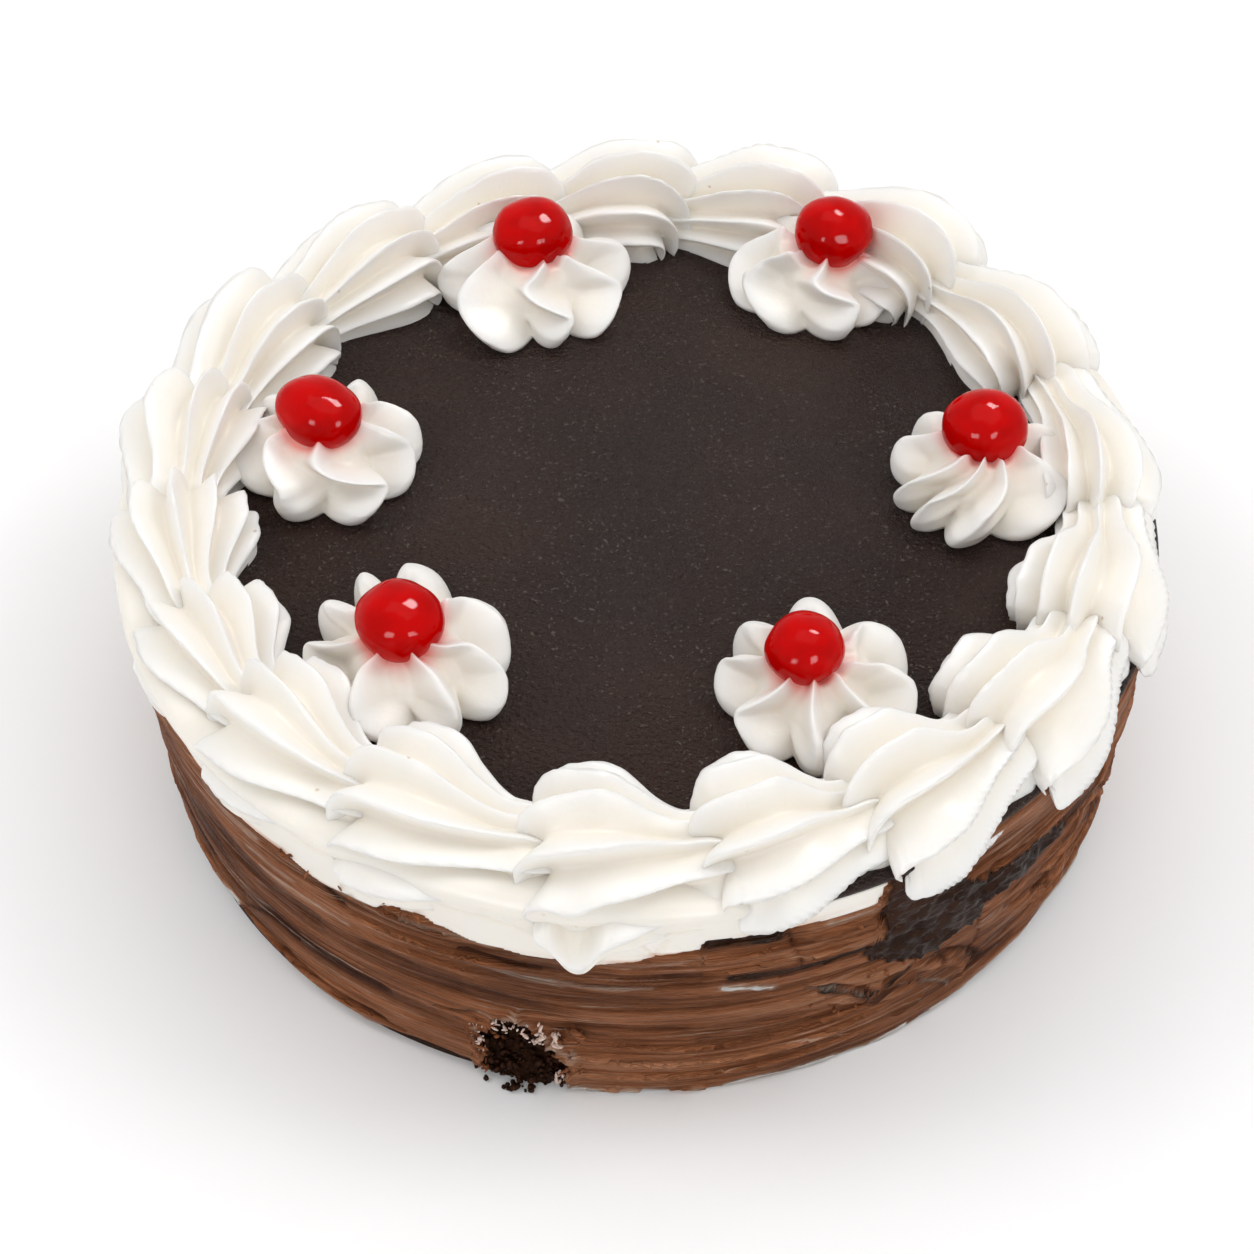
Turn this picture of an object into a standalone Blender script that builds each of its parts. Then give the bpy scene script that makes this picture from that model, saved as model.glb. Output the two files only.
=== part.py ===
"""A round chocolate cake: dark sponge, a layer of cream, chocolate frosting on the side and a dark glaze.

A border of piped shells runs round the top, with six piped rosettes inside it, each with a cherry.
Metres, +Z up. The origin is the middle of the base. Angles go anticlockwise from +X, seen from above.
The front is towards -Y.
"""

import math

import bmesh
import bpy
from mathutils import Matrix, Vector, noise

# The cake's body.
BASE_RADIUS = 0.117
RIM_RADIUS = 0.120
CAKE_HEIGHT = 0.067
GLAZE_THICKNESS = 0.0016
CREAM_THICKNESS = 0.0165
ROUND_STEPS = 64

# The gap between neighbouring pieces, the longest edge that is too short to keep, and the distance at which
# two points are the same.
GAP = 0.0003
SHORTEST_EDGE = 8e-5
SAME_POINT = 1e-6
SHARP_ANGLE = math.radians(40)

# The chocolate frosting, a coat of uneven thickness, and its upper edge: (angle in degrees, height).
FROSTING_DEPTH = 0.0015
FROSTING_RELIEF = 0.0008
FROSTING_FOOT = 0.0006
FROSTING_LEVELS = 5
MARKS_ROUND = 2.4
MARKS_UP = 160.0
FROSTING_EDGE = (
    (0, 0.0560),
    (40, 0.0600),
    (85, 0.0560),
    (130, 0.0600),
    (175, 0.0570),
    (209, 0.0635),
    (237, 0.0560),
    (267, 0.0515),
    (284, 0.0585),
    (296, 0.0640),
    (326, 0.0640),
    (347, 0.0500),
)

# The hollow torn out of the foot of the front: where it is, its half-width, half-depth and half-height, and
# how ragged it is.
TEAR_ANGLE = 256.5
TEAR_HEIGHT = 0.0150
TEAR_SIZE = (0.0105, 0.0095, 0.0130)
TEAR_RAGGED = 0.22
TEAR_GRAIN = 1.7
TEAR_SEED = 7.0

# The piped border. A shell's ridges rise from its head, turn over it and run along the rim into its tail.
# The head turns about a pivot a little under the glaze. The ridges lie between two angles of the section.
PIPE_RADIUS = 0.1055
SHELL_LENGTH = 0.041
SHELL_HEIGHT = 0.021
HEAD_REACH = 0.52
PIVOT_DEPTH = 0.0035
FOOT_DEPTH = 0.0029
FOOT_WIDTH = 0.6
TAIL_TAPER = 0.95
TAPER_POWER = 1.6
RIDGES = 7
FIRST_RIDGE = -12.0
LAST_RIDGE = 168.0
RIDGE_DEPTH = 0.24
CREST_POWER = 0.8
RIM_FILL = 0.45
RIDGE_LEAN = 6.0
POINTS_A_RIDGE = 3
FAN_STATIONS = (-1.0, -0.74, -0.48, -0.23)
BODY_STATIONS = (0.0, 0.32, 0.62, 0.90)

# Degrees from where a shell's head begins to its middle, and from there to the last rosette it can touch.
SHELL_MIDDLE = 12.0
NEAR_ANGLE = 30.0

# Each shell: where its head begins (degrees), its height, and its reach inwards and outwards from the path.
SHELLS = (
    (256, 0.0205, 0.0185, 0.0200),
    (275, 0.0215, 0.0185, 0.0180),
    (292, 0.0220, 0.0180, 0.0182),
    (311, 0.0215, 0.0195, 0.0175),
    (331, 0.0215, 0.0195, 0.0175),
    (352, 0.0205, 0.0180, 0.0140),
    (18, 0.0225, 0.0180, 0.0185),
    (41, 0.0248, 0.0175, 0.0208),
    (63, 0.0242, 0.0160, 0.0205),
    (82, 0.0238, 0.0165, 0.0193),
    (101, 0.0225, 0.0170, 0.0180),
    (121, 0.0220, 0.0190, 0.0180),
    (142, 0.0225, 0.0185, 0.0212),
    (162, 0.0213, 0.0175, 0.0205),
    (180, 0.0200, 0.0180, 0.0165),
    (198, 0.0180, 0.0185, 0.0165),
    (216, 0.0205, 0.0185, 0.0175),
    (235, 0.0205, 0.0190, 0.0180),
)

# Each rosette: angle (degrees), distance from the middle, radius, height, number of lobes, turn (degrees).
# The profile is (share of the radius, share of the height), and the lobes twist and fade towards the top.
ROSETTES = (
    (108.2, 0.0810, 0.0235, 0.0170, 8, 10),
    (57.5, 0.0890, 0.0205, 0.0175, 8, 35),
    (2.0, 0.0795, 0.0215, 0.0170, 8, 0),
    (299.5, 0.0720, 0.0220, 0.0170, 8, 20),
    (226.5, 0.0735, 0.0225, 0.0170, 8, 5),
    (170.5, 0.0745, 0.0220, 0.0170, 8, 25),
)
ROSETTE_PROFILE = (
    (0.80, 0.00),
    (1.00, 0.24),
    (0.99, 0.40),
    (0.84, 0.66),
    (0.62, 0.86),
    (0.34, 1.00),
)
WIDEST_LEVEL = 0.24
LOBE_DEPTH = 0.26
LOBE_FADE = 0.45
ROSETTE_TWIST = 42.0

# The cherries, in the order of the rosettes: angle (degrees), distance from the middle, radius, and squash.
CHERRIES = (
    (108.2, 0.0830, 0.0098, 0.90),
    (57.2, 0.0920, 0.0095, 0.93),
    (3.5, 0.0800, 0.0100, 0.90),
    (298.2, 0.0720, 0.0092, 0.90),
    (226.8, 0.0750, 0.0098, 0.92),
    (170.7, 0.0750, 0.0104, 0.86),
)
CHERRY_HEIGHT = 0.0190
CHERRY_SEGMENTS = 12
CHERRY_RINGS = 7


def clear_scene():
    for item in list(bpy.data.objects):
        bpy.data.objects.remove(item, do_unlink=True)


def new_collection(name):
    group = bpy.data.collections.new(name)
    bpy.context.scene.collection.children.link(group)
    return group


def new_material(name, colour, roughness):
    material = bpy.data.materials.new(name)
    material.use_nodes = True
    shader = material.node_tree.nodes["Principled BSDF"]
    shader.inputs["Base Color"].default_value = (*colour, 1.0)
    shader.inputs["Roughness"].default_value = roughness
    shader.inputs["Metallic"].default_value = 0.0
    return material


def new_object(name, mesh, group, material=None):
    item = bpy.data.objects.new(name, mesh)
    group.objects.link(item)
    if material:
        mesh.materials.append(material)
    return item


def as_cutter(item):
    item.hide_render = True
    item.display_type = "WIRE"
    return item


def new_cutter(name, mesh):
    return as_cutter(new_object(name, mesh, CUTTERS))


def cut(item, cutter, solver="EXACT"):
    boolean = item.modifiers.new(cutter.name, "BOOLEAN")
    boolean.operation = "DIFFERENCE"
    boolean.solver = solver
    boolean.object = cutter


def bodies_of(shape):
    """The separate bodies of a mesh, as lists of faces that meet along edges."""
    left = set(shape.faces)
    bodies = []
    while left:
        body = []
        front = [left.pop()]
        while front:
            face = front.pop()
            body.append(face)
            near = {other for edge in face.edges for other in edge.link_faces} & left
            left -= near
            front.extend(near)
        bodies.append(body)
    return bodies


def settle(item):
    """Applies the cuts, drops the loose scraps that they leave and shades the piece smooth."""
    graph = bpy.context.evaluated_depsgraph_get()
    cut_mesh = bpy.data.meshes.new_from_object(item.evaluated_get(graph))
    shape = bmesh.new()
    shape.from_mesh(cut_mesh)
    for scrap in sorted(bodies_of(shape), key=len)[:-1]:
        bmesh.ops.delete(shape, geom=scrap, context="FACES")
    bmesh.ops.dissolve_degenerate(shape, edges=shape.edges, dist=SHORTEST_EDGE)
    shape.to_mesh(cut_mesh)
    shape.free()
    cut_mesh.shade_smooth()
    cut_mesh.set_sharp_from_angle(angle=SHARP_ANGLE)
    item.modifiers.clear()
    item.data = cut_mesh


def polar(angle, radius, height):
    return Vector((radius * math.cos(angle), radius * math.sin(angle), height))


def finish_mesh(name, shape):
    bmesh.ops.remove_doubles(shape, verts=shape.verts, dist=SAME_POINT)
    bmesh.ops.recalc_face_normals(shape, faces=shape.faces)
    mesh = bpy.data.meshes.new(name)
    shape.to_mesh(mesh)
    shape.free()
    return mesh


def loft(name, rings, ends=None):
    """A closed skin through rings of equal length, ending on two points, or joined up without any."""
    shape = bmesh.new()
    rows = [[shape.verts.new(point) for point in ring] for ring in rings]
    count = len(rows[0])
    pairs = list(zip(rows, rows[1:]))
    if ends is None:
        pairs.append((rows[-1], rows[0]))
    for near, far in pairs:
        for i in range(count):
            j = (i + 1) % count
            shape.faces.new((near[i], near[j], far[j]))
            shape.faces.new((near[i], far[j], far[i]))
    for row, end in zip((rows[0], rows[-1]), ends or ()):
        tip = shape.verts.new(end)
        for i in range(count):
            shape.faces.new((row[i], row[(i + 1) % count], tip))
    return finish_mesh(name, shape)


def turned(name, profile, group, material=None):
    """A turned solid. Its profile runs from the middle of the top, down the outer side and back in."""
    mesh = bpy.data.meshes.new(name)
    points = [(radius, 0.0, height) for radius, height in profile]
    mesh.from_pydata(points, [(i, i + 1) for i in range(len(points) - 1)], [])
    item = new_object(name, mesh, group, material)
    screw = item.modifiers.new("turn", "SCREW")
    screw.steps = ROUND_STEPS
    screw.render_steps = ROUND_STEPS
    screw.use_merge_vertices = True
    screw.merge_threshold = SAME_POINT
    return item


def side_radius(height):
    """The outer radius of the side, which leans out a little towards the rim."""
    return BASE_RADIUS + (RIM_RADIUS - BASE_RADIUS) * height / CAKE_HEIGHT


def smooth_between(rows, angle):
    """A value that runs smoothly round the cake through (angle in degrees, value) rows."""
    ahead = [*rows, (rows[0][0] + 360, rows[0][1])]
    for (start, low), (end, high) in zip(ahead, ahead[1:]):
        if start <= angle % 360 <= end:
            share = (angle % 360 - start) / (end - start)
            return low + (high - low) * (1 - math.cos(math.pi * share)) / 2
    return rows[0][1]


def make_sponge():
    top = CAKE_HEIGHT - GLAZE_THICKNESS - CREAM_THICKNESS - 2 * GAP
    profile = (
        (0.0, top),
        (side_radius(top) - FROSTING_DEPTH, top),
        (side_radius(0.0) - FROSTING_DEPTH, 0.0),
        (0.0, 0.0),
    )
    return turned("sponge", profile, CAKE, SPONGE)


def make_cream_layer():
    top = CAKE_HEIGHT - GLAZE_THICKNESS - GAP
    foot = top - CREAM_THICKNESS
    profile = (
        (0.0, top),
        (side_radius(top) - FROSTING_DEPTH, top),
        (side_radius(foot) - FROSTING_DEPTH, foot),
        (0.0, foot),
    )
    return turned("cream_layer", profile, CAKE, CREAM)


def make_glaze():
    foot = CAKE_HEIGHT - GLAZE_THICKNESS
    profile = ((0.0, CAKE_HEIGHT), (RIM_RADIUS - GAP, CAKE_HEIGHT), (RIM_RADIUS, foot), (0.0, foot))
    return turned("top_glaze", profile, CAKE, GLAZE)


def smear(angle, height):
    """How far the spread frosting stands out: long marks of the palette knife, level with the base."""
    spot = Vector((MARKS_ROUND * math.cos(angle), MARKS_ROUND * math.sin(angle), MARKS_UP * height))
    return FROSTING_RELIEF * noise.noise(spot)


def frosting_section(index):
    angle = math.tau * index / ROUND_STEPS
    edge = smooth_between(FROSTING_EDGE, math.degrees(angle))
    outer = []
    for level in range(FROSTING_LEVELS):
        height = FROSTING_FOOT + (edge - FROSTING_FOOT) * level / (FROSTING_LEVELS - 1)
        outer.append(polar(angle, side_radius(height) + smear(angle, height), height))
    inner = [polar(angle, side_radius(h) - FROSTING_DEPTH + GAP, h) for h in (edge, FROSTING_FOOT)]
    return outer + inner


def make_frosting():
    mesh = loft("side_frosting", [frosting_section(i) for i in range(ROUND_STEPS)])
    return new_object("side_frosting", mesh, CAKE, CHOCOLATE)


def make_tear():
    """The cutter for the hollow in the front of the foot."""
    shape = bmesh.new()
    bmesh.ops.create_icosphere(shape, subdivisions=2, radius=1.0)
    for vert in shape.verts:
        spot = vert.co * TEAR_GRAIN + Vector((TEAR_SEED, 0.0, 0.0))
        vert.co *= 1 + TEAR_RAGGED * noise.noise(spot)
        vert.co *= Vector(TEAR_SIZE)
    angle = math.radians(TEAR_ANGLE)
    turn = Matrix.Rotation(angle + math.pi / 2, 4, "Z")
    place = Matrix.Translation(polar(angle, side_radius(TEAR_HEIGHT), TEAR_HEIGHT))
    bmesh.ops.transform(shape, matrix=place @ turn, verts=shape.verts)
    return new_cutter("tear", finish_mesh("tear", shape))


def make_body_cutter():
    """The cake's body with a gap round it, which keeps the shells clear of the glaze and the side."""
    clear = FROSTING_RELIEF + GAP
    top = CAKE_HEIGHT + GAP
    profile = ((0.0, top), (RIM_RADIUS + clear, top), (BASE_RADIUS + clear, 0.0), (0.0, 0.0))
    return as_cutter(turned("body_room", profile, CUTTERS))


def valley(share):
    """0 on a ridge and 1 in the middle of the valley beside it, with a crest that stays narrow."""
    return math.sin(math.pi * share) ** CREST_POWER


def shell_taper(share):
    """The shell's size along its body, from 1 at the head to almost nothing at the tail."""
    return 1 - TAIL_TAPER * share**TAPER_POWER


def shell_point(shell, station, share, grow):
    """A point on a shell. Stations under 0 turn over the head, and the rest run along its body."""
    start, rise, inner, outer = shell
    ridge = share * (RIDGES - 1)
    crest = 1 - valley(ridge % 1)
    turn = math.radians(FIRST_RIDGE + share * (LAST_RIDGE - FIRST_RIDGE))
    turn -= math.radians(RIDGE_LEAN) * crest * math.cos(turn)
    along = max(station, 0.0)
    depth = RIDGE_DEPTH * (1 - RIM_FILL * max(-math.cos(turn), 0.0))
    size = (1 - depth * (1 - crest)) * shell_taper(along)
    reach = outer if math.cos(turn) < 0 else inner
    across = -math.cos(turn) * (reach * size + grow)
    height = math.sin(turn) * (rise * size + grow)
    return place_on_path(start, station, across, height, grow)


def place_on_path(start, station, across, height, grow):
    """Carries a point of the section to its station, round the head or along the rim."""
    swing = math.radians(90) * -min(station, 0.0)
    arm = PIVOT_DEPTH + height
    along = max(station, 0.0) * (SHELL_LENGTH + grow) - (arm * HEAD_REACH + grow) * math.sin(swing)
    lift = arm * math.cos(swing) - PIVOT_DEPTH
    pivot = math.radians(start) + HEAD_REACH * (PIVOT_DEPTH + SHELL_HEIGHT) / PIPE_RADIUS
    return polar(pivot + along / PIPE_RADIUS, PIPE_RADIUS + across, CAKE_HEIGHT + lift)


def shell_ring(shell, station, grow):
    steps = (RIDGES - 1) * POINTS_A_RIDGE
    ring = [shell_point(shell, station, i / steps, grow) for i in range(steps + 1)]
    start, _, inner, outer = shell
    taper = shell_taper(max(station, 0.0))
    for reach in (outer, -inner):
        ring.append(place_on_path(start, station, FOOT_WIDTH * reach * taper, -FOOT_DEPTH * taper, grow))
    return ring


def shell_mesh(name, shell, grow=0.0):
    rings = [shell_ring(shell, station, grow) for station in FAN_STATIONS + BODY_STATIONS]
    ends = [place_on_path(shell[0], station, 0.0, 0.0, grow) for station in (FAN_STATIONS[0], 1.0)]
    return loft(name, rings, ends)


def rosette_mesh(name, rosette, grow=0.0):
    angle, distance, radius, height, lobes, turn = rosette
    middle = polar(math.radians(angle), distance, CAKE_HEIGHT + GAP)
    steps = lobes * POINTS_A_RIDGE
    rings = []
    for reach, level in ROSETTE_PROFILE:
        depth = LOBE_DEPTH * (1 - LOBE_FADE * level)
        twist = math.radians(turn - ROSETTE_TWIST * level)
        rise = level * height + (grow if level > WIDEST_LEVEL else -grow)
        ring = []
        for i in range(steps):
            size = reach * radius * (1 - depth * valley(i / POINTS_A_RIDGE % 1)) + grow
            ring.append(middle + polar(twist + math.tau * i / steps, size, rise))
        rings.append(ring)
    return loft(name, rings, (middle - Vector((0, 0, grow)), middle + Vector((0, 0, height + grow))))


def cherry_mesh(name, index, grow=0.0):
    angle, distance, radius, squash = CHERRIES[index]
    shape = bmesh.new()
    segments, rings = CHERRY_SEGMENTS, CHERRY_RINGS
    bmesh.ops.create_uvsphere(shape, u_segments=segments, v_segments=rings, radius=radius + grow)
    bmesh.ops.scale(shape, vec=(1.0, 1.0, squash), verts=shape.verts)
    place = polar(math.radians(angle), distance, CAKE_HEIGHT + CHERRY_HEIGHT)
    bmesh.ops.translate(shape, vec=place, verts=shape.verts)
    return finish_mesh(name, shape)


def is_near(shell, rosette):
    """Whether a rosette lies close enough to the middle of a shell to touch it."""
    away = rosette[0] - shell[0] - SHELL_MIDDLE
    return abs((away + 180) % 360 - 180) < NEAR_ANGLE


def make_toppings():
    """The border, the rosettes and the cherries. Each piece is cut clear of the one that lies over it."""
    body_room = make_body_cutter()
    rosette_rooms = []
    for index, rosette in enumerate(ROSETTES):
        name = f"rosette_{index + 1}"
        item = new_object(name, rosette_mesh(name, rosette), CAKE, CREAM)
        cherry_name = f"cherry_{index + 1}"
        new_object(cherry_name, cherry_mesh(cherry_name, index), CAKE, CHERRY)
        cut(item, new_cutter(f"{cherry_name}_room", cherry_mesh(f"{cherry_name}_room", index, GAP)))
        rosette_rooms.append(new_cutter(f"{name}_room", rosette_mesh(f"{name}_room", rosette, GAP)))
    for index, shell in enumerate(SHELLS):
        name = f"shell_{index + 1:02d}"
        item = new_object(name, shell_mesh(name, shell), CAKE, CREAM)
        following = SHELLS[(index + 1) % len(SHELLS)]
        cut(item, body_room, "MANIFOLD")
        cut(item, new_cutter(f"{name}_room", shell_mesh(f"{name}_room", following, GAP)), "MANIFOLD")
        for room, rosette in zip(rosette_rooms, ROSETTES):
            if is_near(shell, rosette):
                cut(item, room, "MANIFOLD")


def main():
    tear = make_tear()
    cut(make_sponge(), tear)
    cut(make_frosting(), tear)
    make_cream_layer()
    make_glaze()
    make_toppings()
    bpy.context.view_layer.update()
    for item in CAKE.objects:
        settle(item)


clear_scene()
CAKE = new_collection("chocolate_cake")
CUTTERS = new_collection("cutters")
SPONGE = new_material("sponge", (0.020, 0.010, 0.007), 0.85)
CREAM = new_material("cream", (0.86, 0.83, 0.78), 0.55)
CHOCOLATE = new_material("chocolate", (0.155, 0.060, 0.027), 0.45)
GLAZE = new_material("glaze", (0.045, 0.032, 0.028), 0.40)
CHERRY = new_material("cherry", (0.60, 0.004, 0.004), 0.12)
main()
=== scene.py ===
"""A round chocolate cake with a piped cream border, six rosettes and candied cherries, on a pale floor.

The rim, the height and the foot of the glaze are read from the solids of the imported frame, and the rest is
placed round them. Each operator makes one piece, or a group of like pieces.
"""

import functools
import itertools
import math

import bpy
import numpy as np
from bpy.props import FloatProperty, FloatVectorProperty, IntProperty, PointerProperty
from mathutils import Matrix, Vector


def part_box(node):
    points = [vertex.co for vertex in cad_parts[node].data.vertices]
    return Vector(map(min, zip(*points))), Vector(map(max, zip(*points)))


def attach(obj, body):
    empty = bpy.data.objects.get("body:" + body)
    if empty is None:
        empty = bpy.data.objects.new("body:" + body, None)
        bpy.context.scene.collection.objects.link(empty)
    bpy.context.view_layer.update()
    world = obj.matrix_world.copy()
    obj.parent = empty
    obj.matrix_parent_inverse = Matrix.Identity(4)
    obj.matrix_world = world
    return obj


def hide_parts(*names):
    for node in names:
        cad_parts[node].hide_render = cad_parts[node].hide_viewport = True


bl_info = {
    "name": "Chocolate cake",
    "version": (1, 0, 0),
    "blender": (4, 5, 0),
    "location": "3D View > Sidebar > Cake",
    "description": "Makes a glazed chocolate cake with a piped cream border, rosettes and cherries",
    "category": "Add Mesh",
}

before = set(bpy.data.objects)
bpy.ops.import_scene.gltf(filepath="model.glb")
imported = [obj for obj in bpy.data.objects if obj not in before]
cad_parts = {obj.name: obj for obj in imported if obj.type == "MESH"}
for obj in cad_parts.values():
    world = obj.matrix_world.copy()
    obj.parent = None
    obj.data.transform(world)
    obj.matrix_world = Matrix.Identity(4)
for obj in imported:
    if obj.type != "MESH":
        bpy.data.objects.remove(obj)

# Measures of the cake, in metres. Angles run counterclockwise seen from above, with 270 degrees in front.
RIM_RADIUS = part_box("top_glaze")[1].x
CAKE_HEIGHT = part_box("top_glaze")[1].z
GLAZE_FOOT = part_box("top_glaze")[0].z
BASE_RADIUS = RIM_RADIUS - 0.003
# The ring along which the shells are piped.
PIPE_RADIUS = 0.1055
SPONGE_INSET = 0.0014
GLAZE_ROUND = 0.0008
GLAZE_COLUMNS = 360
BAND_COLUMNS = 900
BAND_ROWS = 48
# The rings inside the cake that part the flat faces of the band and the glaze, and those of the sponge.
HUB = 0.06
SPONGE_HUB = 0.05
# How far one piece is tucked into the next, and the least gap between two surfaces.
TUCK = 0.0004
HAIR = 0.0002

# Each shell of the border, counterclockwise from the front: angle where its head starts (degrees), height,
# reach towards the middle, reach over the rim, how far its outer ridges hang down (metres), how far its
# ridges slant round it (ridges), and how far its outer ridges fan out towards its head.
SHELLS = (
    (256, 0.0205, 0.0185, 0.0195, 0.0068, 0.30, 0.12), (275, 0.0215, 0.0185, 0.0180, 0.0050, 0.10, 0.25),
    (292, 0.0220, 0.0195, 0.0195, 0.0075, 0.25, 0.55), (311, 0.0220, 0.0195, 0.0200, 0.0075, -0.15, 0.60),
    (331, 0.0215, 0.0180, 0.0190, 0.0060, 0.20, 0.50), (352, 0.0205, 0.0152, 0.0158, 0.0025, -0.20, 0.30),
    (18, 0.0225, 0.0168, 0.0185, 0.0040, 0.15, 0.20), (41, 0.0255, 0.0175, 0.0208, 0.0040, -0.10, 0.12),
    (63, 0.0258, 0.0160, 0.0208, 0.0040, 0.20, 0.12), (82, 0.0256, 0.0165, 0.0200, 0.0040, 0.10, 0.12),
    (101, 0.0242, 0.0170, 0.0190, 0.0040, -0.15, 0.12), (121, 0.0232, 0.0190, 0.0185, 0.0040, 0.20, 0.12),
    (142, 0.0232, 0.0185, 0.0215, 0.0050, 0.10, 0.12), (162, 0.0215, 0.0175, 0.0208, 0.0052, -0.10, 0.12),
    (180, 0.0200, 0.0180, 0.0170, 0.0055, 0.15, 0.12), (198, 0.0180, 0.0185, 0.0168, 0.0062, 0.20, 0.12),
    (216, 0.0205, 0.0185, 0.0178, 0.0064, 0.25, 0.12), (235, 0.0205, 0.0190, 0.0182, 0.0066, 0.30, 0.12),
)
# The torn tip that hangs from a shell over the side: shell, angle (degrees), height, half width (metres).
TIP = (1, 263.4, 0.0505, 0.0040)
# Steps over one ridge, along a shell's head and along its body.
RIDGE_STEPS = 18
HEAD_ROWS = 46
BODY_ROWS = 60
# The head curls this far (degrees), round a pivot below the section. Its middle reaches further than its
# flanks.
HEAD_CURL = 122.0
HEAD_REACH = 0.62
HEAD_ROOM = 0.0245
HEAD_BULGE = 0.30
HEAD_CROWN = 0.25
PIVOT_DEPTH = 0.0035
FLANK_REACH = 0.55
FLANK_TAPER = 0.16
# How far the section curls under on its inner and outer side, and its ridges lean there (degrees).
CURL_IN = 20.0
CURL_OUT = 14.0
LEAN_IN = 5.0
LEAN_OUT = 17.0
# How sharp and how rounded the crests are, and how much rounder and deeper at the front of the head.
CREST_POWER = 0.95
CREST_ROUND = 0.07
LIP_ROUND = 0.26
LIP_DEPTH = 0.25
# How much shallower the ridges are on the inner side, over a collar and along the tail.
RIM_FILL = 0.10
SKIRT = 0.75
TAIL_CALM = 0.55
# How much a shell narrows behind its head, on its inner side, its outer side and at its end, and how much
# less it does so at the back of the cake.
TAIL_DROP = 0.47
TAIL_DROP_OUT = 0.28
TAIL_END = 0.40
FULL_AT_BACK = 0.28
# How uneven the piping is: the way of the ridges, their depth, and the shell's size, slowly and in quick
# pulses.
RIDGE_WANDER = 0.42
DEPTH_WANDER = 0.45
SHELL_LUMPS = 0.07
SHELL_PULSE = 0.022
FAN_RIDGES = 0.70
LOBE_POWER = 0.7
# Where a shell's middle lies past its start (degrees).
SHELL_MIDDLE = 8.0
# The underside lies this far inside the side, no further in than the ledge, and then runs in over the top.
WALL_GAP = 0.0010
LEDGE_RADIUS = 0.115
UNDERSIDE_RADIUS = 0.1165

# Each rosette: angle (degrees), distance from the middle, radius, height (metres), and its petals. For a
# petal, the four angles that its crest runs through from the cherry over the shoulder to the foot
# (degrees), and its reach, as a share of the radius.
ROSETTES = (
    (
        (108.2, 0.0805, 0.0238, 0.0172),
        (12, 18, 22, 14, 1.00), (68, 70, 72, 70, 1.00), (118, 128, 138, 132, 1.00),
        (163, 172, 180, 176, 1.06), (204, 204, 214, 252, 1.06), (290, 256, 296, 281, 0.98),
        (320, 336, 341, 312, 1.02),
    ),
    (
        (59.8, 0.0880, 0.0212, 0.0178),
        (20, 22, 25, 15, 0.95), (62, 64, 66, 64, 0.97), (104, 108, 112, 115, 1.02),
        (142, 150, 156, 190, 0.95), (236, 200, 193, 238, 0.88), (300, 266, 305, 289, 1.00),
        (334, 350, 349, 321, 0.98),
    ),
    (
        (1.8, 0.0793, 0.0216, 0.0172),
        (30, 30, 30, 25, 1.00), (75, 75, 75, 72, 1.00), (123, 125, 127, 130, 0.98),
        (165, 160, 157, 166, 0.96), (236, 220, 204, 196, 0.97), (265, 247, 226, 219, 1.02),
        (292, 286, 264, 249, 1.02), (328, 339, 337, 302, 1.00),
    ),
    (
        (300.4, 0.0725, 0.0215, 0.0170),
        (18, 44, 33, 12, 1.00), (86, 92, 91, 88, 1.04), (150, 140, 136, 140, 0.99),
        (196, 180, 168, 182, 0.95), (236, 226, 212, 236, 1.02), (262, 262, 268, 268, 1.04),
        (292, 304, 314, 298, 1.06), (322, 352, 350, 328, 1.04),
    ),
    (
        (226.5, 0.0730, 0.0226, 0.0172),
        (22, 36, 14, 0, 0.97), (85, 92, 93, 92, 1.08), (135, 124, 118, 120, 1.06),
        (172, 158, 147, 152, 1.00), (222, 198, 178, 184, 1.00), (248, 232, 240, 262, 1.02),
        (272, 296, 300, 296, 1.04), (292, 340, 338, 322, 1.06),
    ),
    (
        (170.2, 0.0742, 0.0226, 0.0172),
        (14, 34, 17, 8, 0.97), (62, 68, 73, 70, 1.00), (104, 100, 98, 100, 1.00),
        (142, 140, 137, 146, 1.00), (180, 170, 172, 200, 0.95), (218, 200, 244, 247, 0.95),
        (272, 262, 316, 290, 1.02), (338, 350, 352, 334, 0.95),
    ),
)
# How far up the rosette those four angles lie, from 0 at the foot to 1 beside the cherry.
CREST_LEVELS = (1.0, 0.80, 0.52, 0.12)
# The section along a crest and a valley: level, reach (share of the radius), lift (share of the height).
CREST_PROFILE = (
    (0.00, 0.88, 0.00), (0.08, 0.96, 0.08), (0.16, 1.00, 0.18), (0.24, 1.02, 0.28), (0.34, 1.02, 0.39),
    (0.45, 1.00, 0.51), (0.55, 0.94, 0.63), (0.68, 0.80, 0.76), (0.80, 0.64, 0.87), (0.90, 0.50, 0.99),
    (0.96, 0.42, 1.09), (1.00, 0.32, 1.00),
)
VALLEY_PROFILE = (
    (0.00, 0.66, 0.00), (0.10, 0.70, 0.07), (0.22, 0.62, 0.22), (0.34, 0.62, 0.32), (0.45, 0.60, 0.41),
    (0.55, 0.56, 0.50), (0.68, 0.51, 0.60), (0.80, 0.46, 0.69), (0.90, 0.41, 0.79), (0.96, 0.38, 0.86),
    (1.00, 0.32, 0.86),
)
PETAL_ROUND = 0.16
PETAL_POWER = 1.5
PETAL_LEAN = 0.11
# How much further up the petals behind the cherry are round lobes.
BEHIND_ROUND = 0.42
PETAL_STEPS = 30
ROSETTE_ROWS = 110

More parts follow.
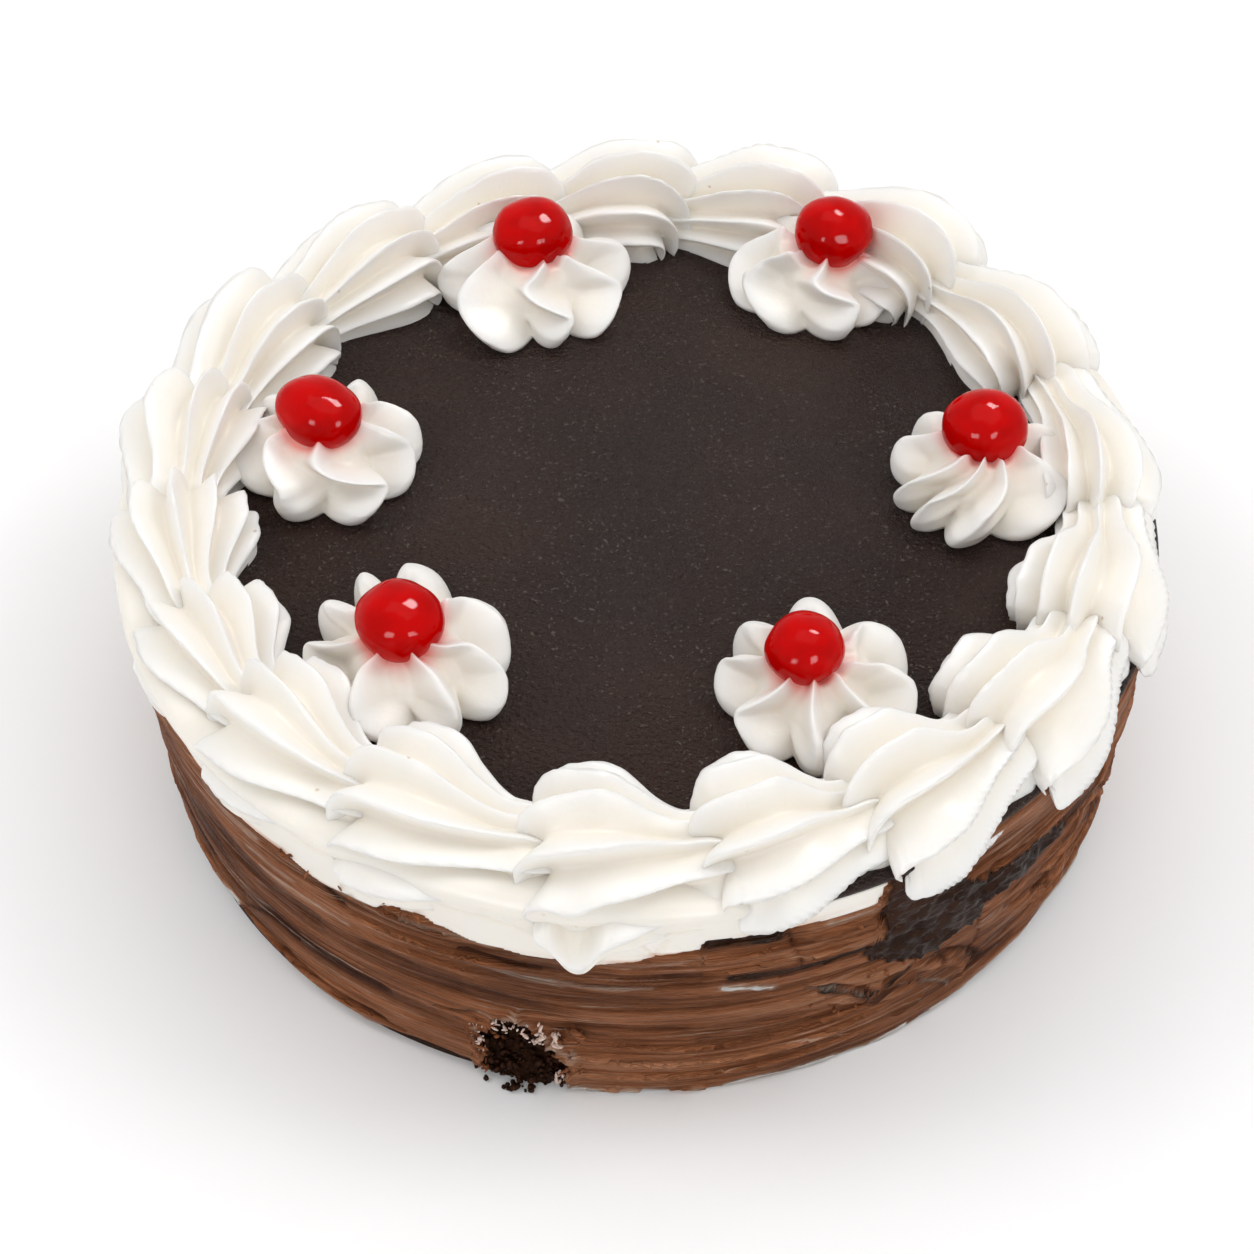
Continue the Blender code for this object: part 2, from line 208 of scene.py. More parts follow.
# Each cherry: angle (degrees), distance from the middle, height of its middle over the top, radius
# (metres), squash, stretch, and heading (degrees).
CHERRIES = (
    (108.2, 0.0830, 0.0184, 0.0098, 0.88, 1.03, 20),
    (57.2, 0.0915, 0.0194, 0.0095, 0.94, 1.02, 0),
    (3.5, 0.0797, 0.0180, 0.0094, 0.92, 1.05, 10),
    (298.2, 0.0718, 0.0180, 0.0083, 0.88, 1.02, 40),
    (226.8, 0.0748, 0.0182, 0.0093, 0.92, 1.03, -20),
    (170.7, 0.0750, 0.0181, 0.0095, 0.86, 1.14, -38),
)
CHERRY_ROWS = 56
CHERRY_COLUMNS = 84
# The syrup beside a cherry: its strength, and how far it soaks into the cream (metres).
SYRUP_STRENGTH = 0.8
SYRUP_REACH = 0.0014

# The upper edge of the spread chocolate round the side: (angle in degrees, height in metres).
FROSTING_EDGE = (
    (2, 0.0618), (12, 0.0585), (40, 0.0600), (85, 0.0560), (130, 0.0600), (175, 0.0570), (202, 0.0600),
    (209, 0.0640), (215, 0.0632), (218, 0.0610), (222, 0.0578), (226, 0.0556), (230, 0.0560), (236, 0.0530),
    (242, 0.0530), (243.8, 0.0560), (247.5, 0.0578), (249, 0.0555), (254, 0.0525), (260, 0.0512),
    (265, 0.0512), (268, 0.0520), (272, 0.0550), (275, 0.0560), (276, 0.0592), (281, 0.0590), (288, 0.0592),
    (293, 0.0590), (294.5, 0.0662), (336, 0.0662), (341, 0.0600), (347, 0.0560), (352, 0.0655),
    (357, 0.0640),
)
# The lower edge: it lifts off the floor where the chocolate stopped short.
FROSTING_FOOT = (
    (0, 0.0010), (90, 0.0006), (180, 0.0012), (199, 0.0060), (204, 0.0085), (212, 0.0098), (218, 0.0090),
    (220, 0.0045), (226, 0.0045), (228, 0.0050), (232, 0.0032), (240, 0.0030), (245, 0.0045), (251, 0.0040),
    (254, 0.0006), (260, 0.0010), (272, 0.0008), (276, 0.0003), (300, 0.0003), (304, 0.0012), (310, 0.0032),
    (316, 0.0048), (322, 0.0066), (328, 0.0060), (336, 0.0030), (345, 0.0012),
)
# How far both edges wander (metres).
EDGE_WANDER = 0.0011
# The part of the side in front (degrees), which has closer columns than the back.
FRONT = (198.0, 352.0)
FRONT_COLUMNS = 458
BACK_COLUMNS = 168
FROSTING_ROWS = 104
# The hidden face of the chocolate has one row in this many.
BACK_STEP = 12
FROSTING_DEPTH = 0.0014
MM_PER_DEGREE = 2.07

# What a stroke of each kind does: relief (metres), dark glaze, pale cream, and painted shade (negative is
# painted highlight).
STROKE_KINDS = {
    "hollow": (-0.0008, 0.0, 0.0, 0.95),
    "groove": (-0.0006, 0.0, 0.0, 1.20),
    "cream": (0.0002, 0.0, 1.0, 0.0),
    "ridge": (0.0005, 0.0, 0.0, -0.80),
    "chunk": (0.0014, 0.0, 0.0, 0.45),
    "glaze": (0.0005, 1.0, 0.0, 0.0),
}
# The strokes that show in the chocolate, by kind: half width (mm), strength, and points of (degrees, mm
# up).
STROKES = {
    "hollow": (
        (6.5, 0.9, ((206, 33), (215, 31))), (3.8, 0.7, ((219, 35), (233, 33))),
        (2.6, 0.8, ((225, 21), (233, 20.5), (241, 20))), (1.5, 0.9, ((226, 8), (240, 6.5))),
        (2.4, 0.5, ((240, 36), (250, 33))), (2.0, 0.9, ((252, 48), (262, 47), (274, 45), (290, 46))),
        (1.8, 0.5, ((262, 27), (274, 26))), (2.0, 0.6, ((276, 22), (300, 21.5))),
        (2.2, 0.9, ((309, 10.5), (315, 8.5))), (3.2, 0.9, ((316, 28), (324, 20), (331, 11))),
        (2.4, 1.1, ((326, 33), (334, 22), (341, 8))), (2.2, 1.0, ((336, 40), (344, 22), (349, 9))),
        (2.6, 0.7, ((204, 20), (212, 16))),
    ),
    "groove": (
        (0.7, 1.1, ((230.5, 57.3), (233, 55.5), (236, 53.3))), (0.6, 0.9, ((237, 53.4), (241, 53))),
        (0.9, 0.8, ((236.4, 50.5), (237.8, 48.5))), (0.5, 0.9, ((247.5, 22), (250, 23.5), (252, 24.6))),
        (0.6, 0.8, ((260.5, 25), (266, 23.2))), (0.6, 0.9, ((251, 47.8), (255, 47.6), (259, 46.3))),
        (0.9, 1.1, ((286.5, 35.5), (290, 31.5), (293, 28), (294, 24))),
        (0.5, 0.7, ((300.5, 19), (303, 14), (305, 9.5))), (0.5, 0.8, ((219, 13), (223, 17.3), (229, 18.6))),
        (0.6, 0.8, ((308, 30), (307.6, 16))), (0.6, 0.9, ((283.5, 57), (285.2, 50), (286, 45))),
        (0.5, 0.7, ((243, 45.4), (262, 43.2), (276, 42.5))),
        (0.6, 0.9, ((308, 50.2), (320, 46.8), (333, 44.5))),
        (0.5, 0.8, ((229, 5.2), (236, 6.5), (243, 5.6))),
        (0.8, 1.2, ((302.5, 27), (306, 22.5), (308.5, 17), (309.5, 11))),
        (0.7, 1.1, ((312, 28), (318, 22), (323, 15), (327, 9.5))),
        (0.7, 1.1, ((325, 36.5), (332, 29), (338, 18))),
        (0.7, 1.2, ((296, 27.5), (300, 28.2), (303, 25), (303.5, 21))),
    ),
    "chunk": (
        (1.6, 0.9, ((292.2, 27), (294, 24), (294.6, 21.5))),
        (1.3, 0.8, ((295.5, 26.5), (298, 23.5), (299.5, 22))), (1.4, 0.6, ((286, 49), (292.5, 50))),
        (1.2, 0.6, ((286, 54.5), (292.5, 54.5))), (1.0, 0.7, ((298.5, 9.8), (301, 10.4))),
    ),
    "ridge": (
        (1.1, 1.0, ((310, 49.6), (320, 49.6), (334, 48.5))),
        (1.0, 1.3, ((287, 36.5), (290.5, 33.5), (294, 30.5), (298, 29.5))),
        (0.8, 1.2, ((290, 26.5), (293, 22), (296, 18.5), (300, 17))),
        (0.8, 1.2, ((300.5, 25), (304, 21), (306.5, 15), (307.5, 9))),
        (0.9, 1.2, ((309, 33), (315, 30.5), (321, 25), (326, 18))),
        (0.8, 1.1, ((322, 37), (329, 31), (335, 22))), (0.8, 1.1, ((284, 49.5), (290, 47.4), (294, 46.2))),
        (3.4, 0.7, ((314, 60), (334, 60))), (2.0, 0.7, ((286.5, 57), (293, 56.8))),
        (1.0, 0.9, ((288, 40), (292.6, 38.6))), (3.0, 0.6, ((301.8, 22), (307, 22))),
        (2.4, 0.5, ((206, 50), (222, 45))), (2.2, 0.5, ((228, 14), (250, 13))),
        (2.0, 0.5, ((262, 31), (300, 29))), (2.6, 0.6, ((262, 12), (296, 13))),
        (1.4, 0.6, ((207, 12.5), (218, 11.5))), (1.6, 0.6, ((310, 25), (316, 22))),
        (2.2, 0.6, ((322, 16), (328, 14))), (1.5, 0.7, ((330, 55), (345, 35))),
        (1.3, 0.7, ((332, 26), (340, 14))),
    ),
    "cream": (
        (0.8, 0.9, ((217.5, 54), (221, 52.6), (226, 52))), (0.6, 0.8, ((236, 52.4), (241, 52.6))),
        (0.6, 0.6, ((245, 53.4), (250, 53.2), (255, 51.6))),
        (0.4, 0.7, ((248, 45), (254, 44), (262, 41.5))),
        (0.4, 0.6, ((254, 44.7), (262, 42.7), (271, 42.2))),
        (0.7, 0.6, ((224, 45.2), (227, 44.6), (231, 45))),
        (0.4, 0.7, ((226, 42), (232, 41.5), (238, 41.2))),
        (0.9, 2.2, ((278.3, 41.2), (280.5, 40.4), (282.8, 38.8))),
        (0.6, 1.5, ((261, 1.4), (266, 0.9), (272, 1.0))),
        (0.6, 1.9, ((275, 0.8), (283, 1.0), (292, 0.8), (300, 1.4))),
        (0.7, 1.8, ((303, 2.0), (310, 4.0), (317, 6.0), (324, 7.6), (331, 6.0))),
        (0.5, 1.5, ((205, 9.4), (212, 10.7), (218, 10.0))),
        (0.5, 1.4, ((226, 5.6), (232, 4.2), (240, 4.0))), (1.0, 0.6, ((271.2, 10.8), (272.6, 10.4))),
        (0.5, 0.7, ((308, 26.3), (313, 26.3))), (0.4, 0.7, ((308.5, 28.2), (312, 28))),
        (0.5, 0.8, ((288, 57.6), (293.5, 56.6))), (0.5, 0.5, ((262, 50.6), (268, 50.8), (276, 53.5))),
        (0.4, 0.3, ((286.6, 34.6), (290, 30.8), (292.6, 27))),
        (0.35, 0.8, ((301, 18), (303.4, 14), (305.3, 9))), (0.6, 0.3, ((296.5, 23.4), (299.6, 20.6))),
    ),
    "glaze": (
        (1.9, 1.2, ((276, 58), (279, 58.2), (282.4, 57.6))),
        (1.2, 1.1, ((279, 44.2), (285, 43.6), (293, 43.8))), (1.0, 0.8, ((318, 42), (326, 39), (333, 34))),
        (0.8, 0.8, ((322, 31), (329, 25), (335, 17))),
        (0.9, 0.9, ((288.5, 32), (291, 28.5), (294.5, 25), (299, 27.5))),
        (0.6, 0.9, ((293.5, 22), (295.5, 20.4), (298, 21.5))),
    ),
}
# The outline of the dark glaze smeared down the side (degrees, mm up).
SMEAR = (
    (294, 66), (299, 66), (300.5, 60), (303, 56), (305.5, 50), (309, 48.5), (315, 47.0), (320, 44.5),
    (322, 41.5), (319, 38.0), (312, 36.5), (308, 37), (307.5, 32), (302, 30), (298.5, 31), (295, 34),
    (293.6, 38), (291.4, 41), (293, 44), (294, 48), (293.6, 54),
)
# Thin creases in the cream above the chocolate: half width (mm) and points of (degrees, mm up).
CREASES = (
    (0.5, ((220.7, 61.9), (228.0, 66.3), (235.3, 65.4), (243.9, 66.3), (249.9, 64.4), (255.4, 62.9))),
    (0.4, ((221.5, 69), (224.7, 69.6), (226.5, 67.5), (224, 65.4), (221.2, 66.2))),
    (0.4, ((254.0, 64.5), (257.6, 61.7), (260.5, 58.8))),
    (0.5, ((260.5, 60.6), (261.9, 56.6), (262.3, 53.1))),
    (0.4, ((266.6, 60.7), (268.0, 58.1), (269.4, 60.9), (271.3, 62.6), (275.1, 63.6))),
    (0.4, ((268.5, 58.1), (269.7, 58.1), (270.6, 55.3), (270.9, 55.3), (272.1, 60.7))),
)
# How much cream covers the rim: 1 where the collar runs over it, 0 where the glaze shows.
COLLAR = (
    (0, 0.0), (5, 0.1), (12, 1.0), (270, 1.0), (278, 0.8), (283, 0.0), (338, 0.0), (342, 0.5), (347, 0.5),
    (351, 0.0),
)
# The collar's section, from the band up over the rim and in under the shells: radius, height over the top
# (metres).
COLLAR_PROFILE = (
    (0.1204, -0.0010), (0.1210, 0.0006), (0.1211, 0.0020), (0.1204, 0.0033), (0.1188, 0.0042),
    (0.1160, 0.0047), (0.1120, 0.0042), (0.1090, -0.0006),
)
# The hollow torn from the foot: angle (degrees), height, half width, depth and half height (metres).
TEAR = (256.6, 0.0120, 0.0108, 0.0062, 0.0135)

# What is scattered: piece, finish, slot, mean radius and its spread (the radius as a share of the crumb
# size), stretch, raggedness, and how brown it is smudged.
CRUMBS = ("loose_crumbs", "crumbs", "sponge", 0.55, 0.35, (1.0, 0.8, 0.7), 0.9, 0.0)
SHARDS = ("cream_shards", "cream", "cream", 0.30, 0.40, (1.9, 1.1, 0.45), 1.8, 0.72)
FLAKES = ("frosting_flakes", "frosting", "chocolate_frosting", 0.42, 0.35, (2.2, 0.8, 0.5), 1.0, 0.0)
# How many crumbs are dropped over the hollow. Those that miss it are left out.
HOLLOW_CRUMBS = 420
# Where crumbs, shards and flakes lie on the side: count, angles (degrees) and heights (mm) from and to.
FALLEN_CRUMBS = (
    (16, 254.2, 258.4, 0.4, 1.0), (4, 252.0, 261.0, 0.4, 0.7),
)
CREAM_SHARDS = (
    (34, 254.0, 259.5, 20.5, 26.0), (24, 257.5, 261.5, 17.5, 23.0), (6, 251.2, 253.4, 20.0, 22.5),
    (14, 251.4, 252.8, 9.0, 18.0), (14, 260.2, 261.4, 3.0, 7.5),
)
FROSTING_FLAKES = (
    (34, 251.0, 253.0, 2.0, 22.0), (26, 260.5, 263.5, 6.0, 26.0), (8, 230.0, 241.0, 53.5, 57.0),
    (6, 243.5, 248.5, 55.0, 58.0), (18, 287.0, 300.0, 21.0, 32.0),
)
# Crumbs caught on the rim, in millimetres from the middle of the base.
CRUMBS_ON_RIM = ((103.5, 61.5, 66.6), (102.6, 63.2, 66.4), (115.2, 35.0, 66.5), (116.6, 30.0, 66.2))

CAMERA_PLACE = (-0.003146, -0.384625, 0.434454)
CAMERA_RIGHT = (0.99994698, -0.00750761, -0.00704765)
CAMERA_UP = (0.01029726, 0.72904944, 0.68438358)
CAMERA_LENS = 65.208
CAMERA_SENSOR = 36.0
FLOOR_HEIGHT = -0.0002
FLOOR_CORNERS = ((-6.0, -6.0), (6.0, -6.0), (6.0, 6.0), (-6.0, 6.0))
# Each soft light: name, place, width and height (metres), power (watts), and whether it lights surfaces and
# shows in gloss.
LIGHTS = (
    ("overhead", (0.10, 0.20, 2.60), 2.4, 1.6, 12.0, True, True),
    ("left_overhead", (-1.10, 0.15, 1.50), 0.6, 0.6, 5.0, True, False),
    ("right_overhead", (1.10, 0.10, 1.50), 0.6, 0.6, 6.0, True, False),
    ("left_window", (-0.72, -1.35, 0.62), 0.8, 0.8, 1.5, True, False),
    ("right_window", (0.72, -1.35, 0.62), 0.8, 0.8, 1.5, True, False),
    ("left_glint", (-0.75, -1.40, 0.62), 0.46, 0.52, 15.0, False, True),
    ("right_glint", (0.75, -1.40, 0.62), 0.46, 0.52, 15.0, False, True),
    ("high_glint", (0.45, 0.55, 1.50), 0.50, 0.34, 26.0, False, True),
)
WORLD_STRENGTH = 0.72


def side_radius(height):
    """The outer radius of the side, which leans out a little towards the rim."""
    return BASE_RADIUS + (RIM_RADIUS - BASE_RADIUS) * height / CAKE_HEIGHT


def polar(angle, radius, height):
    """Points from angles in radians, radii and heights."""
    angle, radius, height = np.broadcast_arrays(angle, radius, height)
    return np.stack((radius * np.cos(angle), radius * np.sin(angle), height), -1)


def smooth(low, high, value):
    """0 up to low, 1 from high, and an S-curve between."""
    share = np.clip((value - low) / (high - low), 0.0, 1.0)
    return share * share * (3 - 2 * share)


def round_the_cake(rows, degrees):
    """A value that runs smoothly round the cake through (angle in degrees, value) rows."""
    angles, values = np.array(sorted(rows)).T
    angles = np.concatenate((angles[-1:] - 360, angles, angles[:1] + 360))
    values = np.concatenate((values[-1:], values, values[:1]))
    place = np.clip(np.searchsorted(angles, degrees % 360, side="right") - 1, 0, len(angles) - 2)
    share = (degrees % 360 - angles[place]) / (angles[place + 1] - angles[place])
    return values[place] + (values[place + 1] - values[place]) * (1 - np.cos(np.pi * share)) / 2


class Grain:
    """Smooth random waves in space, the same each time for a seed."""

    def __init__(self, seed):
        rng = np.random.default_rng(seed)
        self.order = rng.permutation(256)
        slopes = rng.normal(size=(256, 3))
        self.slopes = slopes / np.linalg.norm(slopes, axis=1, keepdims=True)

    def __call__(self, points, scale=1.0):
        points = np.asarray(points) * scale
        cell = np.floor(points).astype(int)
        part = points - cell
        fade = part**3 * (part * (part * 6 - 15) + 10)
        total = 0.0
        for corner in itertools.product((0, 1), repeat=3):
            at = (cell + corner) & 255
            pick = self.order[(self.order[(self.order[at[..., 0]] + at[..., 1]) & 255] + at[..., 2]) & 255]
            weight = np.prod(np.where(corner, fade, 1 - fade), -1)
            total = total + weight * (self.slopes[pick] * (part - corner)).sum(-1)
        return total

    def layers(self, points, scale, count):
        """Waves of several sizes, each half the size and strength of the one before."""
        return sum(self(points, scale * 2**level) / 2**level for level in range(count))


# The waves in the piped cream, the cherries and the torn hollow, and those in the spread layers.
LUMPS = Grain(3)
MARKS = Grain(11)


def new_object(name, data):
    thing = bpy.data.objects.new(name, data)
    bpy.context.scene.collection.objects.link(thing)
    return thing


def fill(layer, key, values):
    """Sets one thing on every item of a mesh at once."""
    layer.foreach_set(key, np.ascontiguousarray(values, np.float32).ravel())


def mesh_of(name, points, faces, values=None):
    """A smooth mesh from points and arrays of faces, with a point attribute for each named set of values."""
    mesh = bpy.data.meshes.new(name)
    corners = np.concatenate([array.ravel() for array in faces])
    totals = np.concatenate([np.full(len(array), array.shape[1]) for array in faces])
    mesh.vertices.add(len(points))
    fill(mesh.vertices, "co", points)
    mesh.loops.add(len(corners))
    mesh.loops.foreach_set("vertex_index", corners.astype(np.int32))
    mesh.polygons.add(len(totals))
    starts = np.concatenate(([0], np.cumsum(totals)[:-1]))
    mesh.polygons.foreach_set("loop_start", starts.astype(np.int32))
    mesh.update(calc_edges=True)
    for key, value in (values or {}).items():
        fill(mesh.attributes.new(key, "FLOAT", "POINT").data, "value", value)
    mesh.shade_smooth()
    mesh.validate()
    return mesh


def ring_grid(rows, count):
    """The numbers of the points in rings, of the points one step ahead, and the faces between them."""
    index = np.arange(rows * count).reshape(rows, count)
    ahead = np.roll(index, -1, axis=1)
    return index, ahead, np.stack((index[:-1], ahead[:-1], ahead[1:], index[1:]), -1)


def skin(name, grid, values=None, ends=None):
    """A piece with a closed skin over rings of points. An end closes on its middle or a given point."""
    rows, count = grid.shape[:2]
    index, ahead, quads = ring_grid(rows, count)
    points = grid.reshape(-1, 3)
    values = {key: np.broadcast_to(value, (rows, count)).ravel() for key, value in (values or {}).items()}
    faces = [quads.reshape(-1, 4)]
    first, last = ends or (grid[0].mean(0), grid[-1].mean(0))
    for end, row, near, far in ((first, 0, ahead, index), (last, -1, index, ahead)):
        faces.append(np.stack((near[row], far[row], np.full(count, len(points))), -1))
        points = np.concatenate((points, [end]))
        values = {key: np.append(value, value[index[row]].mean()) for key, value in values.items()}
    return new_object(name, mesh_of(name, points, faces, values))


def finish_piece(piece, finish, slot, *nodes):
    """Gives a piece its finish, sets it on the cake and lets it stand for its solids."""
    piece.data.materials.clear()
    piece.data.materials.append(finish_named(finish))
    if nodes:
        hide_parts(*nodes)
    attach(piece, "root")


# Materials


class Value:
    """A node's output that takes part in sums written as Python expressions."""

    def __init__(self, nodes, socket):
        self.nodes = nodes
        self.socket = socket

    def _sum(self, operation, *values, clamp=False):
        return self.nodes.value("ShaderNodeMath", {"operation": operation, "use_clamp": clamp}, values)

    def __add__(self, other):
        return self._sum("ADD", self, other)

    def __sub__(self, other):
        return self._sum("SUBTRACT", self, other)

    def __rsub__(self, other):
        return self._sum("SUBTRACT", other, self)

    def __mul__(self, other):
        return self._sum("MULTIPLY", self, other)

    __radd__ = __add__
    __rmul__ = __mul__

    def clamped(self):
        return self._sum("ADD", self, 0.0, clamp=True)

    def above(self, low, high):
        """0 under low, 1 over high, smooth between."""
        inputs = {"Value": self, "From Min": low, "From Max": high}
        return self.nodes.value("ShaderNodeMapRange", {"interpolation_type": "SMOOTHSTEP"}, inputs)


class Nodes:
    """The nodes of one tree, with one method that makes any node."""

    def __init__(self, tree):
        self.tree = tree

    def node(self, kind, settings=None, inputs=()):
        """Makes a node: its settings first, then the values or links of its sockets, by name or in order."""
        node = self.tree.nodes.new(kind)
        for key, value in (settings or {}).items():
            setattr(node, key, value)
        pairs = inputs.items() if isinstance(inputs, dict) else enumerate(inputs)
        for key, value in pairs:
            self.put(self.find(node, key), value)
        return node

    def value(self, kind, settings=None, inputs=(), output=0):
        return Value(self, self.node(kind, settings, inputs).outputs[output])

    def find(self, node, key):
        if isinstance(key, int):
            return node.inputs[key]
        return next(socket for socket in node.inputs if key in (socket.identifier, socket.name))

    def put(self, socket, value):
        if isinstance(value, Value):
            self.tree.links.new(value.socket, socket)
        elif socket.type == "RGBA" and len(value) == 3:
            socket.default_value = (*value, 1.0)
        else:
            socket.default_value = value


class Finish(Nodes):
    """The nodes of a material. Its colours are given by their names among the cake's colours."""

    def __init__(self, name):
        self.material = bpy.data.materials.new(name)
        self.material.use_nodes = True
        super().__init__(self.material.node_tree)
        self.shader = self.tree.nodes["Principled BSDF"]
        self.place = self.value("ShaderNodeTexCoord", output="Object")

    def set(self, **inputs):
        for key, value in inputs.items():
            self.put(self.shader.inputs[key.replace("_", " ")], value)

    def attribute(self, name):
        return self.value("ShaderNodeAttribute", {"attribute_name": name}, output="Fac")

    def stretched(self, *scale):
        return self.value("ShaderNodeMapping", None, {"Vector": self.place, "Scale": scale})

    def noise(self, scale, detail, rough, place=None):
        inputs = {"Vector": place or self.place, "Scale": scale, "Detail": detail, "Roughness": rough}
        return self.value("ShaderNodeTexNoise", None, inputs, "Fac")

    def cells(self, scale):
        """Random cells: how far each place is from its cell's middle, and a number that the cell draws."""
        node = self.node("ShaderNodeTexVoronoi", None, {"Vector": self.place, "Scale": scale})
        draw = self.value("ShaderNodeSeparateColor", None, (Value(self, node.outputs["Color"]),))
        return Value(self, node.outputs["Distance"]), draw

    def blend(self, share, first, second):
        """A mix of two colours, each a value, three numbers or a name."""
        colours = bpy.context.scene.cake_colours
        inputs = {"Factor_Float": share, "A_Color": first, "B_Color": second}
        for key, item in inputs.items():
            inputs[key] = getattr(colours, item) if isinstance(item, str) else item
        return self.value("ShaderNodeMix", {"data_type": "RGBA"}, inputs, "Result")

    def lay(self, share, colour):
        """Lays a colour over what is there, as far as the share says."""
        self.colour = self.blend(share, self.colour, colour)

    def bump(self, height, strength, distance):
        inputs = {"Height": height, "Strength": strength, "Distance": distance}
        self.set(Normal=self.value("ShaderNodeBump", None, inputs))


def cream_finish():
    finish = Finish("whipped_cream")
    mottle = finish.noise(90, 3.0, 0.6)
    # Painted shade: the cream is painted darker and warmer the deeper it lies in a fold, with a random
    # mottle over that.
    valley_shade = finish.attribute("fold") * 0.75 - 0.12 + (mottle - 0.5) * 0.4
    distance, draw = finish.cells(150)
    # The air pits are dented by the bump and painted tan inside, as painted shade.
    pits = (1 - distance.above(0.03, 0.09)) * draw.above(0.82, 0.84)
    finish.colour = finish.blend(valley_shade.clamped(), "cream", "cream_fold")
    finish.lay(pits * 0.55, "pit")
    finish.lay((finish.attribute("syrup") * (0.75 + mottle * 0.5)).clamped(), "syrup")
    finish.lay(finish.attribute("smudge").clamped() * 0.85, "frosting_light")
    finish.set(Base_Color=finish.colour, Roughness=0.42, Specular_IOR_Level=0.30)
    finish.set(Subsurface_Weight=0.25, Subsurface_Radius=(1.0, 0.8, 0.6), Subsurface_Scale=0.004)
    lumps = finish.noise(900, 3.0, 0.6) * 0.25 + finish.noise(260, 2.0, 0.5) * 0.4
    finish.bump(lumps - pits * 1.5, 0.35, 0.0006)
    return finish.material


def frosting_finish():
    """Spread chocolate: long and fine marks the knife's way, with painted shade in their hollows, painted
    highlights and glints on their raised parts, and cream and dark glaze laid over them.
    """
    finish = Finish("chocolate_frosting")
    dark = finish.attribute("dark")
    pale = finish.attribute("pale")
    depth = finish.attribute("depth")
    long_marks = finish.noise(1.0, 4.0, 0.6, finish.stretched(16, 16, 620))
    fine_marks = finish.noise(1.0, 4.0, 0.7, finish.stretched(34, 34, 1500))
    clouds = finish.noise(60, 3.0, 0.55)
    swing = fine_marks - 0.5
    plain = (1 - dark).clamped()
    # Painted shade: the chocolate is darker where the long and fine marks sink in the bump, and its tone
    # also wanders at random with the clouds.
    bands = (long_marks.above(0.38, 0.60) - 0.5) * 0.62
    mark_shade_and_tone = bands + (fine_marks.above(0.40, 0.62) - 0.5) * 0.60 + (clouds - 0.5) * 0.6 + 0.66
    finish.colour = finish.blend(mark_shade_and_tone.clamped(), "frosting_dark", "frosting")
    # Painted highlight on the raised marks and ridges.
    finish.lay((depth * -0.9).clamped() * (0.35 + fine_marks), "frosting_light")
    # Painted shade in the hollows and grooves, from the depth attribute and the low fine marks.
    finish.lay((depth * 0.7 + swing * 0.7).clamped(), "frosting_deep")
    # The smear is painted lighter grey where its cloud bump rises and darker where it sinks.
    smear = finish.blend(clouds.above(0.45, 0.65), "smear", "smear_grey")
    finish.lay((dark * 1.15 + swing * dark * 0.2).clamped(), smear)
    # Painted glints: pale streaks where both the long and fine marks rise.
    finish.lay(fine_marks.above(0.56, 0.63) * long_marks.above(0.50, 0.58) * plain * 0.45, "film")
    # Painted shade where the fine marks sink.
    finish.lay((1 - fine_marks.above(0.35, 0.40)) * clouds.above(0.46, 0.54) * plain * 0.50, "frosting_deep")
    finish.lay((pale * (0.55 + swing * 3.0)).clamped(), "film")
    finish.lay(pale.above(0.95, 1.25), "cream")
    finish.set(Base_Color=finish.colour, Roughness=0.48 - swing * 0.4 - dark * 0.22)
    finish.set(Specular_IOR_Level=0.13, Specular_Tint=(1.0, 0.62, 0.42))
    marks = (long_marks * 1.8 + fine_marks * 1.5) * (1 - dark * 0.92)
    finish.bump(marks + finish.noise(1400, 3.0, 0.6) * 0.10 + clouds * dark * 1.2, 1.0, 0.0022)
    return finish.material


def glaze_finish():
    finish = Finish("dark_glaze")
    soft = finish.noise(22, 3.0, 0.5)
    crowd = finish.noise(30, 2.0, 0.5)
    # Painted glints: pale flecks on tiny raised specks that the bump lifts.
    flecks = finish.noise(1100, 2.0, 0.6).above(0.60, 0.67) * crowd.above(0.25, 0.60)
    finish.colour = finish.blend(soft.above(0.3, 0.7), "glaze", "glaze_warm")
    finish.lay(flecks * 0.45, "fleck")
    finish.set(Base_Color=finish.colour, Roughness=0.44 + (soft - 0.5) * 0.20, Specular_IOR_Level=0.24)
    finish.bump(finish.noise(900, 3.0, 0.6) * 1.6 + flecks * 0.5, 1.0, 0.0016)
    return finish.material


def cherry_finish():
    finish = Finish("candied_cherry")
    clouds = finish.noise(150, 2.0, 0.5)
    colour = finish.blend(clouds.above(0.35, 0.7), "cherry", "cherry_deep")
    finish.set(Base_Color=colour, Roughness=0.05, Specular_IOR_Level=0.09)
    finish.set(Subsurface_Weight=0.10, Subsurface_Radius=(1.0, 0.02, 0.02), Subsurface_Scale=0.002)
    finish.bump(finish.noise(260, 1.0, 0.5), 0.06, 0.0004)
    return finish.material


def sponge_finish():
    finish = Finish("chocolate_sponge")
    crumb = finish.noise(700, 5.0, 0.7)
    # Painted shade where the crumb pattern sinks in the bump.
    finish.colour = finish.blend(crumb.above(0.35, 0.7), "sponge_dark", "sponge")
    finish.lay((finish.attribute("torn") * crumb.above(0.55, 0.66) * 0.8).clamped(), "film")
    finish.set(Base_Color=finish.colour, Roughness=0.6)
    finish.set(Specular_IOR_Level=0.12, Specular_Tint=(1.0, 0.5, 0.3))
    holes, _ = finish.cells(520)
    finish.bump(crumb + holes * 0.8, 0.9, 0.0012)
    return finish.material


